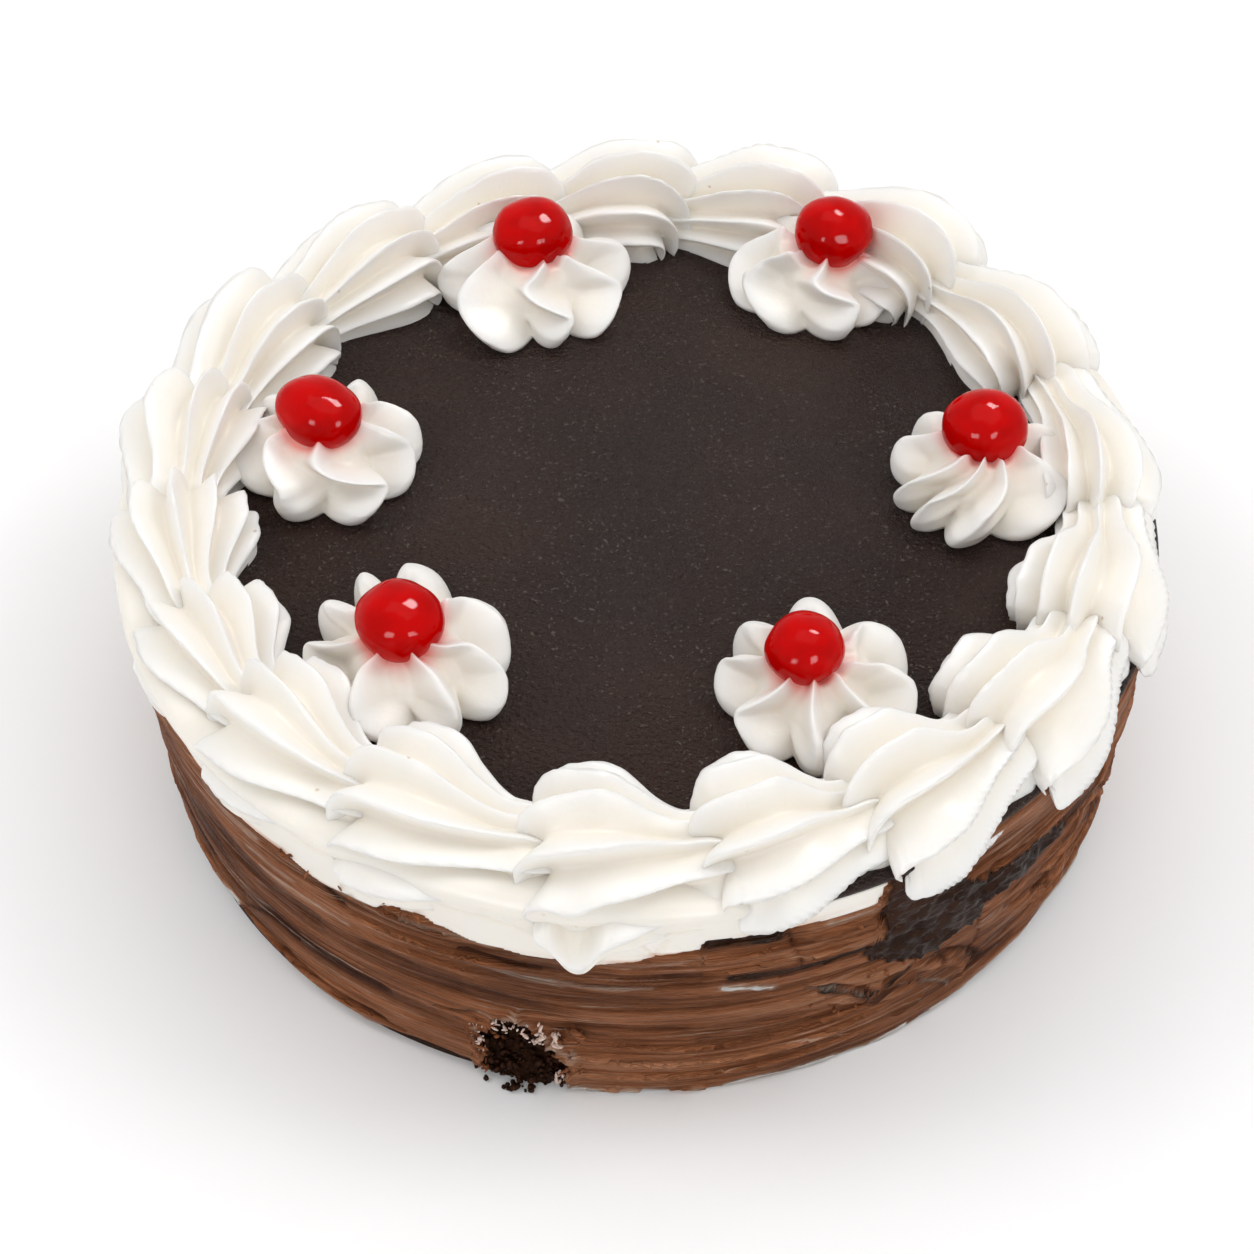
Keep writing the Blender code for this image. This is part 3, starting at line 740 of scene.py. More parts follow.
def crumb_finish():
    finish = Finish("chocolate_crumbs")
    crumb = finish.noise(900, 4.0, 0.7)
    # Painted shade in the crumbs' low places; their raised places take the deep brown.
    finish.colour = finish.blend(crumb.above(0.4, 0.8), "sponge_dark", "frosting_deep")
    finish.lay(finish.noise(160, 2.0, 0.5).above(0.66, 0.74), "frosting")
    finish.set(Base_Color=finish.colour, Roughness=0.45)
    finish.set(Specular_IOR_Level=0.14, Specular_Tint=(1.0, 0.5, 0.3))
    finish.bump(crumb, 0.6, 0.0008)
    return finish.material


def floor_finish():
    finish = Finish("pale_floor")
    shade = tuple(0.97 * channel for channel in bpy.context.scene.cake_colours.floor)
    colour = finish.blend(finish.noise(3.0, 2.0, 0.5) * 0.3, "floor", shade)
    finish.set(Base_Color=colour, Roughness=0.75, Specular_IOR_Level=0.2)
    return finish.material


FINISHES = {
    "cream": cream_finish,
    "frosting": frosting_finish,
    "glaze": glaze_finish,
    "cherry": cherry_finish,
    "sponge": sponge_finish,
    "crumbs": crumb_finish,
    "floor": floor_finish,
}


@functools.cache
def finish_named(name):
    """A finish is made once, on first use."""
    return FINISHES[name]()


# Properties


def colour_property(name, description, default):
    look = {"default": default, "subtype": "COLOR", "size": 3, "min": 0.0, "max": 1.0}
    return FloatVectorProperty(name=name, description=description, **look)


def size_property(name, description, default, low, high, kind=FloatProperty, **more):
    return kind(name=name, description=description, default=default, min=low, max=high, **more)


class CakeColours(bpy.types.PropertyGroup):
    cream: colour_property("Cream", "Lit whipped cream", (0.865, 0.845, 0.815))
    # Painted shade, laid on the cream deep in the folds between the ridges.
    cream_fold: colour_property("Cream in folds", "Cream deep between the ridges", (0.86, 0.79, 0.67))
    # Painted shade inside the small air pits.
    pit: colour_property("Pits", "Small air pits in the cream", (0.50, 0.33, 0.17))
    syrup: colour_property("Syrup", "Cherry syrup soaked into the cream", (0.82, 0.16, 0.13))
    frosting: colour_property("Frosting", "Spread chocolate", (0.430, 0.156, 0.066))
    # Painted highlight on raised chocolate; also the colour of chocolate smudged onto the cream.
    frosting_light: colour_property("Light frosting", "Chocolate where it is raised", (0.54, 0.245, 0.130))
    # Painted shade in the low parts of the knife marks, with random darker streaks.
    frosting_dark: colour_property("Dark frosting", "Chocolate between its marks", (0.150, 0.044, 0.016))
    # Painted shade in the chocolate's hollows and grooves; also the crumbs' own deep brown.
    frosting_deep: colour_property("Deep marks", "Chocolate in its hollows", (0.055, 0.017, 0.008))
    # The smear is painted this lighter grey where its cloud bump rises.
    smear_grey: colour_property("Dull smear", "The smear in its dull patches", (0.026, 0.0085, 0.0045))
    smear: colour_property("Glaze smear", "Dark glaze smeared over the side", (0.011, 0.0034, 0.0017))
    # A thin cream film; also laid as painted glints on the chocolate's raised streaks.
    film: colour_property("Cream film", "Thin cream drawn through the chocolate", (0.72, 0.56, 0.45))
    glaze: colour_property("Glaze", "Glaze of the top", (0.0205, 0.0090, 0.0064))
    glaze_warm: colour_property("Warm glaze", "The warmer patches of the glaze", (0.036, 0.0155, 0.0090))
    # Pale flecks, laid as painted glints on the glaze's tiny raised specks.
    fleck: colour_property("Flecks", "Fine pale flecks in the glaze", (0.24, 0.20, 0.17))
    cherry: colour_property("Cherry", "Candied cherry", (0.54, 0.0, 0.0))
    cherry_deep: colour_property("Deep cherry", "The deeper patches of a cherry", (0.44, 0.0, 0.0))
    sponge: colour_property("Sponge", "Chocolate sponge", (0.034, 0.012, 0.006))
    # Painted shade in the low places between crumbs, in the sponge and in the loose crumbs.
    sponge_dark: colour_property("Dark sponge", "Sponge between its crumbs", (0.008, 0.003, 0.002))
    floor: colour_property("Floor", "Plain pale floor", (0.93, 0.93, 0.93))


class CakeSizes(bpy.types.PropertyGroup):
    ridge_depth: size_property(
        "Ridge depth", "Depth of the flutes as a share of a shell's size", 0.34, 0.0, 0.6, subtype="FACTOR"
    )
    ridges: size_property("Ridges", "Number of ridges over a shell", 9, 4, 12, IntProperty)
    overlap: size_property(
        "Overlap", "Length of a shell as a share of the way to the next", 1.05, 0.9, 1.4, subtype="FACTOR"
    )
    relief: size_property(
        "Knife marks", "Depth of the palette knife's marks in the side", 0.0006, 0.0, 0.002, unit="LENGTH"
    )
    crumb_size: size_property(
        "Crumb size", "Mean width of the loose crumbs", 0.0011, 0.0002, 0.004, unit="LENGTH"
    )


# Cream


def crest_valley(phase, rounding, power):
    """0 on a ridge's rounded crest and 1 in the middle of the valley beside it."""
    wave = np.abs(np.sin(np.pi * phase))
    low = rounding**power
    high = (1 + rounding**2) ** (power / 2)
    return ((wave**2 + rounding**2) ** (power / 2) - low) / (high - low)


def shell_size(along, outside):
    """The size along a shell's body: full at the head, then less, level under the next head, then small."""
    drop = TAIL_DROP + (TAIL_DROP_OUT - TAIL_DROP) * outside
    return 1 - drop * smooth(0.02, 0.54, along) - TAIL_END * smooth(0.60, 1.0, along)


def shell_length(number, overlap):
    """The length of a shell behind its head, from the distance to the next one."""
    start = SHELLS[number - 1][0]
    following = SHELLS[number % len(SHELLS)][0]
    return math.radians((following - start) % 360) * PIPE_RADIUS * overlap


def place_on_path(start, station, across, height, length):
    """Carries a point of the section to its station: -1 to 0 round the head, 0 to 1 along the rim."""
    swing = np.radians(HEAD_CURL) * -np.minimum(station, 0.0)
    ahead = np.sin(swing)
    ahead = ahead * (1 + HEAD_BULGE * (1 - ahead))
    front = PIVOT_DEPTH + np.hypot(height, FLANK_REACH * across)
    along = np.maximum(station, 0.0) * length - front * HEAD_REACH * ahead
    across = across * (1 - FLANK_TAPER * smooth(0.0, 1.0, -station))
    low = math.cos(math.radians(HEAD_CURL))
    fall = (np.cos(swing) - low) / (1 - low)
    fall = fall * (1 + HEAD_CROWN * (1 - fall))
    dip = PIVOT_DEPTH * np.cos(swing / math.radians(HEAD_CURL) * np.pi / 2)
    pivot = math.radians(start) + HEAD_REACH * HEAD_ROOM / PIPE_RADIUS
    lift = (PIVOT_DEPTH + height) * fall - dip
    return polar(pivot + along / PIPE_RADIUS, PIPE_RADIUS + across, CAKE_HEIGHT + lift)


def shell_grid(number, shell, sizes):
    """The points of a shell's skin, how deep each lies in a fold, and its share of the way across."""
    start, rise, inner, outer, droop, slant, fan = shell
    stations = np.concatenate((np.linspace(-1, 0, HEAD_ROWS, endpoint=False), np.linspace(0, 1, BODY_ROWS)))
    shares = np.linspace(0, 1, RIDGE_STEPS * (sizes.ridges - 1) + 1)
    station, share = np.meshgrid(stations, shares, indexing="ij")
    along = np.maximum(station, 0.0)
    front = smooth(0.0, -0.8, station)
    seed = np.stack((station * 1.2, share * 3.4, np.full_like(station, number * 7.3)), -1)
    # The ridges slant and wander, the outer ones fan out towards the head, and their crests are rounded.
    spread = 1 + fan * smooth(0.75, -0.20, station)
    fanned = np.minimum(share, 0.5) + np.maximum(share - 0.5, 0) * (1 + FAN_RIDGES * fan) / spread
    turned = (slant * station + RIDGE_WANDER * LUMPS(seed)) * np.sin(np.pi * share)
    rounding = CREST_ROUND + LIP_ROUND * np.maximum(front, smooth(0.42, 0.12, share))
    fold = crest_valley(fanned * (sizes.ridges - 1) + turned, rounding, CREST_POWER)
    # The section turns from the inside to the outside. Its ridges lean, and are shallower towards the tail.
    turn = np.radians(-CURL_IN + share * (180 + CURL_IN + CURL_OUT))
    turn = turn - np.radians(np.where(turn < np.pi / 2, LEAN_IN, LEAN_OUT)) * (1 - fold) * np.cos(turn)
    outside = np.maximum(-np.cos(turn), 0.0)
    depth = sizes.ridge_depth * (1 - RIM_FILL * (1 - outside)) * (1 + DEPTH_WANDER * LUMPS(seed + 13, 1.5))
    depth = depth * (1 - TAIL_CALM * smooth(0.40, 0.75, along)) * (1 + LIP_DEPTH * front)
    collar = round_the_cake(COLLAR, np.array(start + SHELL_MIDDLE))
    depth = depth * (1 - SKIRT * collar * smooth(0.78, 0.92, share))
    taper = along * (1 - FULL_AT_BACK * smooth(0.0, 0.6, math.sin(math.radians(start + 10))))
    size = (1 - depth * fold) * shell_size(taper, smooth(0.0, 1.0, -np.cos(turn)))
    pulse = LUMPS(np.stack((station * 9, share * 5, np.full_like(station, number * 3.7)), -1))
    size = size * (1 + SHELL_LUMPS * LUMPS(seed + 40, 2.2) + SHELL_PULSE * pulse * (1 - fold))
    curl = np.where(turn < np.pi / 2, math.sin(math.radians(CURL_IN)), math.sin(math.radians(CURL_OUT)))
    across = -np.cos(turn) * np.where(np.cos(turn) > 0, inner, outer) * size
    height = np.maximum((np.sin(turn) + curl) / (1 + curl), 0) * rise * size
    points = place_on_path(start, station, across, height, shell_length(number, sizes.overlap))
    # The outer ridges hang down as lobes, and as one even skirt where the collar runs under them.
    hang = smooth(0.55, 1.0, share) * (0.35 + 0.65 * smooth(-1.0, -0.4, station))
    hang = hang * (1 - 0.35 * smooth(0.1, 0.6, along)) * (1 - (1 - collar) * smooth(0.55, 0.90, along))
    points[..., 2] -= droop * hang * (collar + (1 - collar) * (1 - fold) ** LOBE_POWER)
    return points, fold, share


def pull_tip(points, share):
    """Draws the outermost ridge down into the torn tip that hangs over the side."""
    _, middle, low, wide = TIP
    angle = np.arctan2(points[..., 1], points[..., 0])
    radius = np.hypot(points[..., 0], points[..., 1])
    away = np.radians(np.degrees(angle) % 360 - middle) * RIM_RADIUS / wide
    pull = np.exp(-np.abs(away) ** 2.2) * smooth(0.70, 0.97, share) * (points[..., 2] > low)
    height = points[..., 2] + (low - points[..., 2]) * pull
    wall = side_radius(height) + 0.0022 + 0.0016 * (1 - pull)
    return polar(angle, radius + (wall - radius) * pull, height)


def syrup_stain(grid):
    """How much cherry syrup has soaked in: strong beside a cherry, gone a few millimetres out."""
    stain = np.zeros(grid.shape[:-1])
    uneven = np.maximum(1 + 1.1 * LUMPS(grid + 0.5, 200), 0.2)
    for angle, distance, lift, radius, *_ in CHERRIES:
        middle = polar(math.radians(angle), distance, CAKE_HEIGHT + lift)
        away = np.maximum(np.linalg.norm(grid - middle, axis=-1) - radius, 0)
        stain = np.maximum(stain, SYRUP_STRENGTH * np.exp(-away / (SYRUP_REACH * uneven)))
    return stain


def make_shell(name, number, shell):
    points, fold, share = shell_grid(number, shell, bpy.context.scene.cake_sizes)
    if number == TIP[0]:
        points = pull_tip(points, share)
    edge = points[:, -1]
    angle = np.arctan2(edge[:, 1], edge[:, 0])
    radius = np.hypot(edge[:, 0], edge[:, 1])
    wall = np.maximum(side_radius(edge[:, 2]) - WALL_GAP, LEDGE_RADIUS)
    under = (
        polar(angle, np.minimum(radius, wall), edge[:, 2] + HAIR),
        polar(angle, np.minimum(radius, UNDERSIDE_RADIUS), CAKE_HEIGHT - TUCK),
        polar(angle, np.minimum(radius, PIPE_RADIUS), CAKE_HEIGHT - TUCK),
    )
    grid = np.concatenate((points, np.stack(under, 1)), 1)
    # The fold goes to the finish as painted shade in the valleys, and the underside is painted half as deep
    # in it.
    fold = np.pad(fold, ((0, 0), (0, len(under))), constant_values=0.5)
    return skin(name, grid, {"fold": fold, "syrup": syrup_stain(grid)})


def eased(values, width):
    """A row of values with its corners eased over a number of steps."""
    kernel = np.hanning(width)
    return np.convolve(values, kernel / kernel.sum(), "same")


def along_profile(profile, level):
    """The reach and lift of a profile at each level, with its corners eased."""
    levels, *columns = np.array(profile).T
    fine = np.linspace(-0.06, 1.06, 225)
    return [np.interp(level, fine, eased(np.interp(fine, levels, column), 17)) for column in columns]


def crest_angle(petal, level):
    """The angle of a petal's crest at each level, in degrees."""
    fine = np.linspace(-0.2, 1.2, 281)
    return np.interp(level, fine, eased(np.interp(fine, CREST_LEVELS[::-1], petal[3::-1]), 41))


def make_rosette(name, number, rosette):
    """A rosette whose petals swing out from the cherry, turn over the shoulder and curl in at the foot."""
    (angle, distance, radius, height), *petals = rosette
    level = np.linspace(0, 1, ROSETTE_ROWS)
    # Each place round the rosette lies a share of the way from one petal's crest to the next one's.
    crests = np.stack([crest_angle(petal, level) for petal in petals], 1)
    following = np.roll(crests, -1, axis=1)
    following[:, -1] += 360
    share = np.linspace(0, 1, PETAL_STEPS, endpoint=False)
    spot = crests[:, :, None] + (following - crests)[:, :, None] * share
    spot = np.radians(spot.reshape(ROSETTE_ROWS, -1))
    reaches = np.array([petal[4] for petal in petals])
    swell = (reaches[:, None] + (np.roll(reaches, -1) - reaches)[:, None] * smooth(0, 1, share)).ravel()
    level = level[:, None] + 0 * spot
    share = np.tile(share, len(petals))
    # Above the shoulder a petal is a thin crest, and below it a full round lobe.
    lean = share + PETAL_LEAN * np.sin(2 * np.pi * share) * smooth(0.0, 0.5, level)
    thin = crest_valley(lean, PETAL_ROUND, PETAL_POWER)
    full = 1 - np.hypot(np.cos(np.pi * share), 0.08)
    behind = BEHIND_ROUND * smooth(0.0, 0.6, np.sin(spot))
    fold = thin + (full - thin) * smooth(0.52 + behind, 0.20 + behind, level)
    seed = np.stack((np.cos(spot), np.sin(spot), level * 0.8 + number * 9.1), -1)
    deep = fold * (1 + 0.35 * LUMPS(seed + 20, 1.4))
    crest, valley = (along_profile(profile, level) for profile in (CREST_PROFILE, VALLEY_PROFILE))
    reach, lift = (high + (low - high) * deep for high, low in zip(crest, valley))
    size = radius * reach * (1 + (swell - 1) * smooth(1.0, 0.6, level)) * (1 + 0.08 * LUMPS(seed + 50, 1.6))
    rise = height * lift * (1 + 0.10 * LUMPS(seed + 70, 1.5))
    grid = polar(spot, size, rise) + polar(math.radians(angle), distance, CAKE_HEIGHT)
    # The fold goes to the finish as painted shade between the petals.
    return skin(name, grid, {"fold": fold, "syrup": syrup_stain(grid)})


def make_cherry(name, number, cherry):
    """A candied cherry: squashed, a little wider above, dented, and longer one way."""
    angle, distance, lift, radius, squash, stretch, heading = cherry
    tilt = np.linspace(0.02, np.pi - 0.02, CHERRY_ROWS)[::-1]
    around = np.linspace(0, 2 * np.pi, CHERRY_COLUMNS, endpoint=False)
    tilt, around = np.meshgrid(tilt, around, indexing="ij")
    ball = polar(around, np.sin(tilt), np.cos(tilt))
    dents = 0.09 * LUMPS(ball + number * 5.7, 1.2) + 0.010 * LUMPS(ball + number * 3.1, 4.0)
    wide = 1 + 0.07 * ball[..., 2] - 0.05 * smooth(-0.2, -1.0, ball[..., 2])
    sides = np.stack((wide * stretch, wide / stretch**0.5, np.full_like(wide, squash)), -1)
    turn = np.array(Matrix.Rotation(math.radians(heading), 3, "Z"))
    grid = (ball * (1 + dents)[..., None] * sides * radius) @ turn.T
    return skin(name, grid + polar(math.radians(angle), distance, CAKE_HEIGHT + lift))


# Side and top


def ragged(degrees, scale, seed):
    """A ragged wander round the cake, for torn and spread edges."""
    return EDGE_WANDER * MARKS.layers(polar(np.radians(degrees), 1.0, seed), scale, 5)


def frosting_top(degrees):
    """The upper edge of the chocolate, ragged where the knife left it."""
    return np.minimum(round_the_cake(FROSTING_EDGE, degrees) + ragged(degrees, 9.0, 0.3), CAKE_HEIGHT - TUCK)


def frosting_foot(degrees):
    """The lower edge of the chocolate, which lifts off the floor at places."""
    return np.maximum(round_the_cake(FROSTING_FOOT, degrees) + ragged(degrees, 12.0, 0.7), HAIR)


def knife_relief(angle, height):
    """The palette knife's marks, from about -1 to 1: bands, overlapping layers and fine lines."""
    level = height + 0.011 * MARKS(polar(angle, 1.1, 0.0))
    bands = MARKS(polar(angle, 1.9, level * 95)) + 0.5 * MARKS(polar(angle, 3.4, level * 190) + 17)
    phase = level * 150 + 1.6 * MARKS(polar(angle, 1.7, level * 40) + 31)
    patch = smooth(-0.05, 0.35, MARKS(polar(angle, 2.6, level * 60) + 47))
    layers = (phase - np.floor(phase)) ** 2.5 * patch
    fine = MARKS.layers(polar(angle, 5.0, level * 620) + 57, 1.0, 3)
    return 0.9 * bands, layers, fine


def gap_to(across, height, start, step):
    """The distance from points to a straight line that runs one step from its start, in millimetres."""
    share = np.clip(((across - start[0]) * step[0] + (height - start[1]) * step[1]) / (step @ step), 0, 1)
    return np.hypot(across - start[0] - share * step[0], height - start[1] - share * step[1])


def stroke_share(across, height, line, width):
    """How near points are to a line of (angle, height in millimetres) points, 1 on it and 0 a width away."""
    path = np.array(line, float) * (MM_PER_DEGREE, 1.0)
    gaps = [gap_to(across, height, start, end - start) for start, end in zip(path[:-1], path[1:])]
    return np.exp(-((np.min(gaps, 0) / width) ** 2))


def inside_outline(across, height, outline):
    """The distance into an outline of (angle, height) points, in millimetres, and less than 0 outside it."""
    path = np.array(outline, float) * (MM_PER_DEGREE, 1.0)
    nearest = np.full(across.shape, np.inf)
    inside = np.zeros(across.shape, bool)
    for start, end in zip(path, np.roll(path, -1, axis=0)):
        step = end - start
        nearest = np.minimum(nearest, gap_to(across, height, start, step))
        between = (start[1] > height) != (end[1] > height)
        edge = start[0] + (height - start[1]) * step[0] / (step[1] or 1e-9)
        inside ^= between & (across < edge)
    return np.where(inside, nearest, -nearest)


def frosting_marks(degrees, height):
    """Relief (metres), darkness of smeared glaze, paleness of cream and painted shade (negative is painted
    highlight), at each point.
    """
    level = height * 1000
    spot = polar(np.radians(degrees), RIM_RADIUS, height)
    grain = 1 + 0.9 * MARKS.layers(polar(np.radians(degrees), 7.0, level * 0.9), 1.0, 3)
    across = degrees * MM_PER_DEGREE + 2.2 * MARKS(spot, 130) + 0.8 * MARKS(spot + 3, 420)
    level = level + 1.3 * MARKS(spot + 5, 90) + 0.45 * MARKS(spot + 7, 480)
    relief, dark, pale, shade = (np.zeros(height.shape) for _ in range(4))
    for kind, strokes in STROKES.items():
        raised, darker, paler, shaded = STROKE_KINDS[kind]
        for width, strength, line in strokes:
            reach = 3 * width / MM_PER_DEGREE + 1.5
            near = np.flatnonzero((degrees[0] > line[0][0] - reach) & (degrees[0] < line[-1][0] + reach))
            part = (slice(None), slice(near[0], near[-1] + 1))
            share = stroke_share(across[part], level[part], line, width) * strength
            share = share * np.clip(grain[part], 0.2, 1.6)
            relief[part] += raised * share
            dark[part] = np.maximum(dark[part], darker * share)
            pale[part] = np.maximum(pale[part], paler * share)
            shade[part] += shaded * share
    smear = inside_outline(across, level, SMEAR) + 1.6 * MARKS.layers(spot + 11, 260, 3)
    cover = smooth(-0.2, 0.5, smear)
    wrinkles = 1 - 3.2 * np.abs(MARKS.layers(spot * (1, 1, 1.6) + 13, 150, 2))
    return relief + cover * (0.0004 + 0.0009 * wrinkles), np.maximum(dark, cover), pale, shade


def torn_hole(degrees, height):
    """Positive inside the hole torn through the chocolate at the foot."""
    angle, middle, wide, _, tall = TEAR
    sideways = np.radians(degrees - angle) * RIM_RADIUS / wide
    upward = (height - middle) / tall
    away = np.sqrt(sideways**2 + np.where(upward < 0, 0.35, 1.0) * upward**2)
    return 1 - away + 0.55 * LUMPS.layers(polar(np.radians(degrees), RIM_RADIUS, height), 190, 3)


def edge_film(degrees, below):
    """Cream drawn out thin over the chocolate's upper edge, in streaks."""
    angle = np.radians(degrees)
    patch = smooth(0.0, 0.35, MARKS(polar(angle, 2.2, 0.0) + 71))
    streaks = smooth(-0.1, 0.3, MARKS.layers(polar(angle, 3.0, below * 900) + 77, 2.2, 3))
    return 0.9 * np.exp(-below / 0.0011) * patch * streaks


def walled_sheet(name, outer, inner, keep, values):
    """A sheet with a front, a back and walls along each open edge, from two grids that close round the cake.

    The back has every row only where the sheet has a hole, and elsewhere one row in a few.
    """
    rows, count = keep.shape[0] + 1, keep.shape[1]
    index, ahead, quads = ring_grid(rows, count)
    quads = quads[keep]
    starts, ends = quads.ravel(), np.roll(quads, -1, axis=1).ravel()
    total = rows * count
    open_edge = ~np.isin(starts * total + ends, ends * total + starts)
    starts, ends = starts[open_edge], ends[open_edge]
    walls = np.stack((ends, starts, starts + total, ends + total), -1)
    holed = np.flatnonzero(~keep.all(1))
    behind = np.unique(np.concatenate((np.arange(0, rows, BACK_STEP), holed, holed + 1, [rows - 1])))
    low, high = behind[:-1], behind[1:]
    back = np.stack((index[low], index[high], ahead[high], ahead[low]), -1)[keep[low]] + total
    points = np.concatenate((outer.reshape(-1, 3), inner.reshape(-1, 3)))
    used, faces = np.unique(np.concatenate((quads, back, walls)), return_inverse=True)
    values = {key: np.tile(value.ravel(), 2)[used] for key, value in values.items()}
    return new_object(name, mesh_of(name, points[used], [faces.reshape(-1, 4)], values))


def make_frosting(name):
    front = np.linspace(*FRONT, FRONT_COLUMNS, endpoint=False)
    back = np.linspace(FRONT[1], FRONT[0] + 360, BACK_COLUMNS, endpoint=False)
    degrees = np.concatenate((front, back))
    top, foot = frosting_top(degrees), frosting_foot(degrees)
    height = foot + (top - foot) * np.linspace(0, 1, FROSTING_ROWS)[:, None]
    degrees = np.broadcast_to(degrees, height.shape)
    angle = np.radians(degrees)
    bands, layers, fine = knife_relief(angle, height)
    relief, dark, pale, shade = frosting_marks(degrees % 360, height)
    calm = 1 - 0.75 * dark
    level = bpy.context.scene.cake_sizes.relief * (1.35 * bands + 1.8 * layers + fine) * calm + relief
    # The depth is painted shade where the knife marks sink, and painted highlight (below 0) where they rise,
    # plus each stroke's painted shade.
    deep = (0.10 - 1.5 * bands - 0.55 * layers - 0.7 * fine) * calm + shade
    # The chocolate thins to its upper and lower edges, and curls up round the hole torn in its foot.
    thin = smooth(0.0, 0.0030, top - height) * smooth(0.0, 0.0020, height - foot + 0.0008)
    hole = torn_hole(degrees % 360, height)
    lip = np.exp(-np.maximum(-hole, 0) / 0.12)
    level = level * (0.35 + 0.65 * thin) + 0.0011 * lip * (1 + 1.5 * LUMPS(polar(angle, 0.12, height), 420))
    pale = np.maximum(pale, edge_film(degrees, top - height) * (1 - dark))
    torn = smooth(0.22, 0.70, lip) * smooth(-0.12, 0.15, LUMPS(polar(angle, 0.12, height), 330))
    pale = np.maximum(pale, 0.9 * torn * smooth(0.0115, 0.0175, height))
    radius = side_radius(height) + level - 0.0007 * (1 - thin)
    outer = polar(angle, radius, height)
    inner = polar(angle, np.minimum(radius - 0.0006, side_radius(height) - FROSTING_DEPTH), height)
    inside = np.pad(hole > 0, ((0, 0), (0, 1)), mode="wrap")
    keep = ~(inside[:-1, :-1] & inside[1:, :-1] & inside[:-1, 1:] & inside[1:, 1:])
    return walled_sheet(name, outer, inner, keep, {"dark": dark, "pale": pale, "depth": deep})


def crease_relief(degrees, height):
    """The thin creases in the cream above the chocolate, each with a low ridge over it (metres)."""
    across = np.broadcast_to(degrees, height.shape) * MM_PER_DEGREE
    level = height * 1000
    relief = np.zeros(height.shape)
    for width, line in CREASES:
        relief -= 0.0005 * stroke_share(across, level, line, width)
        relief += 0.0003 * stroke_share(across, level - 1.2, line, width * 1.6)
    return relief


def layer_disc(name, grid, values, low, high, hub):
    """A layer of the cake from rings of points, closed by a flat face below and one above."""
    angle = np.arctan2(grid[0, :, 1], grid[0, :, 0])
    grid = np.concatenate((polar(angle, hub, low)[None], grid, polar(angle, hub, high)[None]))
    values = {key: np.pad(value, ((1, 1), (0, 0)), "edge") for key, value in values.items()}
    return skin(name, grid, values, (Vector((0, 0, low)), Vector((0, 0, high))))


def make_cream_layer(name):
    """The band of cream above the chocolate, drawn up over the rim as a collar under the shells."""
    degrees = np.linspace(0, 360, BAND_COLUMNS, endpoint=False)
    angle = np.radians(degrees)
    low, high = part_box("cream_layer")[0].z, GLAZE_FOOT - HAIR
    height = np.linspace(low, high, BAND_ROWS)[:, None] + 0 * angle
    top = frosting_top(degrees)
    crease = crease_relief(degrees, height)
    radius = side_radius(height) + HAIR + 0.0007 * MARKS(polar(angle, 2.4, height * 70) + 11) + crease
    radius = np.where(height < top, np.minimum(radius, side_radius(height) - 0.0013), radius)
    cover = round_the_cake(COLLAR, degrees)[:, None]
    collar = []
    for reach, rise in COLLAR_PROFILE:
        lump = 0.0009 * MARKS.layers(polar(angle, 3.2, rise * 160) + 19, 1.0, 3)
        spread = polar(angle, reach + lump, CAKE_HEIGHT + rise + 0.6 * lump)
        sunk = polar(angle, min(reach, RIM_RADIUS - 0.0012), high)
        collar.append(sunk + (spread - sunk) * cover)
    patch = 0.5 + 2.2 * MARKS(polar(angle, 5.0, height * 500) + 91)
    smudge = smooth(0.0, 1.0, np.exp(-np.maximum(height - top, 0) / 0.0012) * patch)
    # Painted shade: the band and its collar are painted well into the fold colour, for the shade under the
    # shells, and darker along the creases.
    fold = 0.75 + np.clip(-900 * crease, 0, 0.8)
    above = ((0, len(collar)), (0, 0))
    values = {"fold": np.pad(fold, above, constant_values=0.75), "smudge": np.pad(smudge, above)}
    grid = np.concatenate((polar(angle, radius, height), np.stack(collar)))
    return layer_disc(name, grid, values, low, high, HUB)


def make_glaze(name):
    """The glazed top, with a rounded rim and a slow wave over it that dies away at the rim."""
    angle = np.linspace(0, 2 * np.pi, GLAZE_COLUMNS, endpoint=False)
    bend = RIM_RADIUS - GLAZE_ROUND
    rows = [polar(angle, HUB, GLAZE_FOOT), polar(angle, RIM_RADIUS - HAIR, GLAZE_FOOT)]
    for turn in np.linspace(0, np.pi / 2, 6)[:-1]:
        out_by, up_by = GLAZE_ROUND * math.cos(turn), GLAZE_ROUND * math.sin(turn)
        rows.append(polar(angle, bend + out_by, CAKE_HEIGHT - GLAZE_ROUND + up_by))
    for radius in np.linspace(0.002, bend, 110)[::-1]:
        calm = smooth(RIM_RADIUS, RIM_RADIUS - 0.008, radius)
        wave = 0.00025 * MARKS.layers(polar(angle, radius, 0.0), 28, 2)
        rows.append(polar(angle, radius, CAKE_HEIGHT + wave * calm))
    return skin(name, np.stack(rows), None, (Vector((0, 0, GLAZE_FOOT)), Vector((0, 0, CAKE_HEIGHT))))


def hollow_depth(degrees, height):
    """How far the torn hollow reaches into the sponge, which still bulges out at its foot."""
    deep = np.clip(torn_hole(degrees, height) + 0.22, 0, 1)
    bulge = 0.0016 * deep * smooth(0.0050, 0.0020, height)
    return TEAR[3] * np.sqrt(deep) * smooth(0.0020, 0.0120, height) - bulge


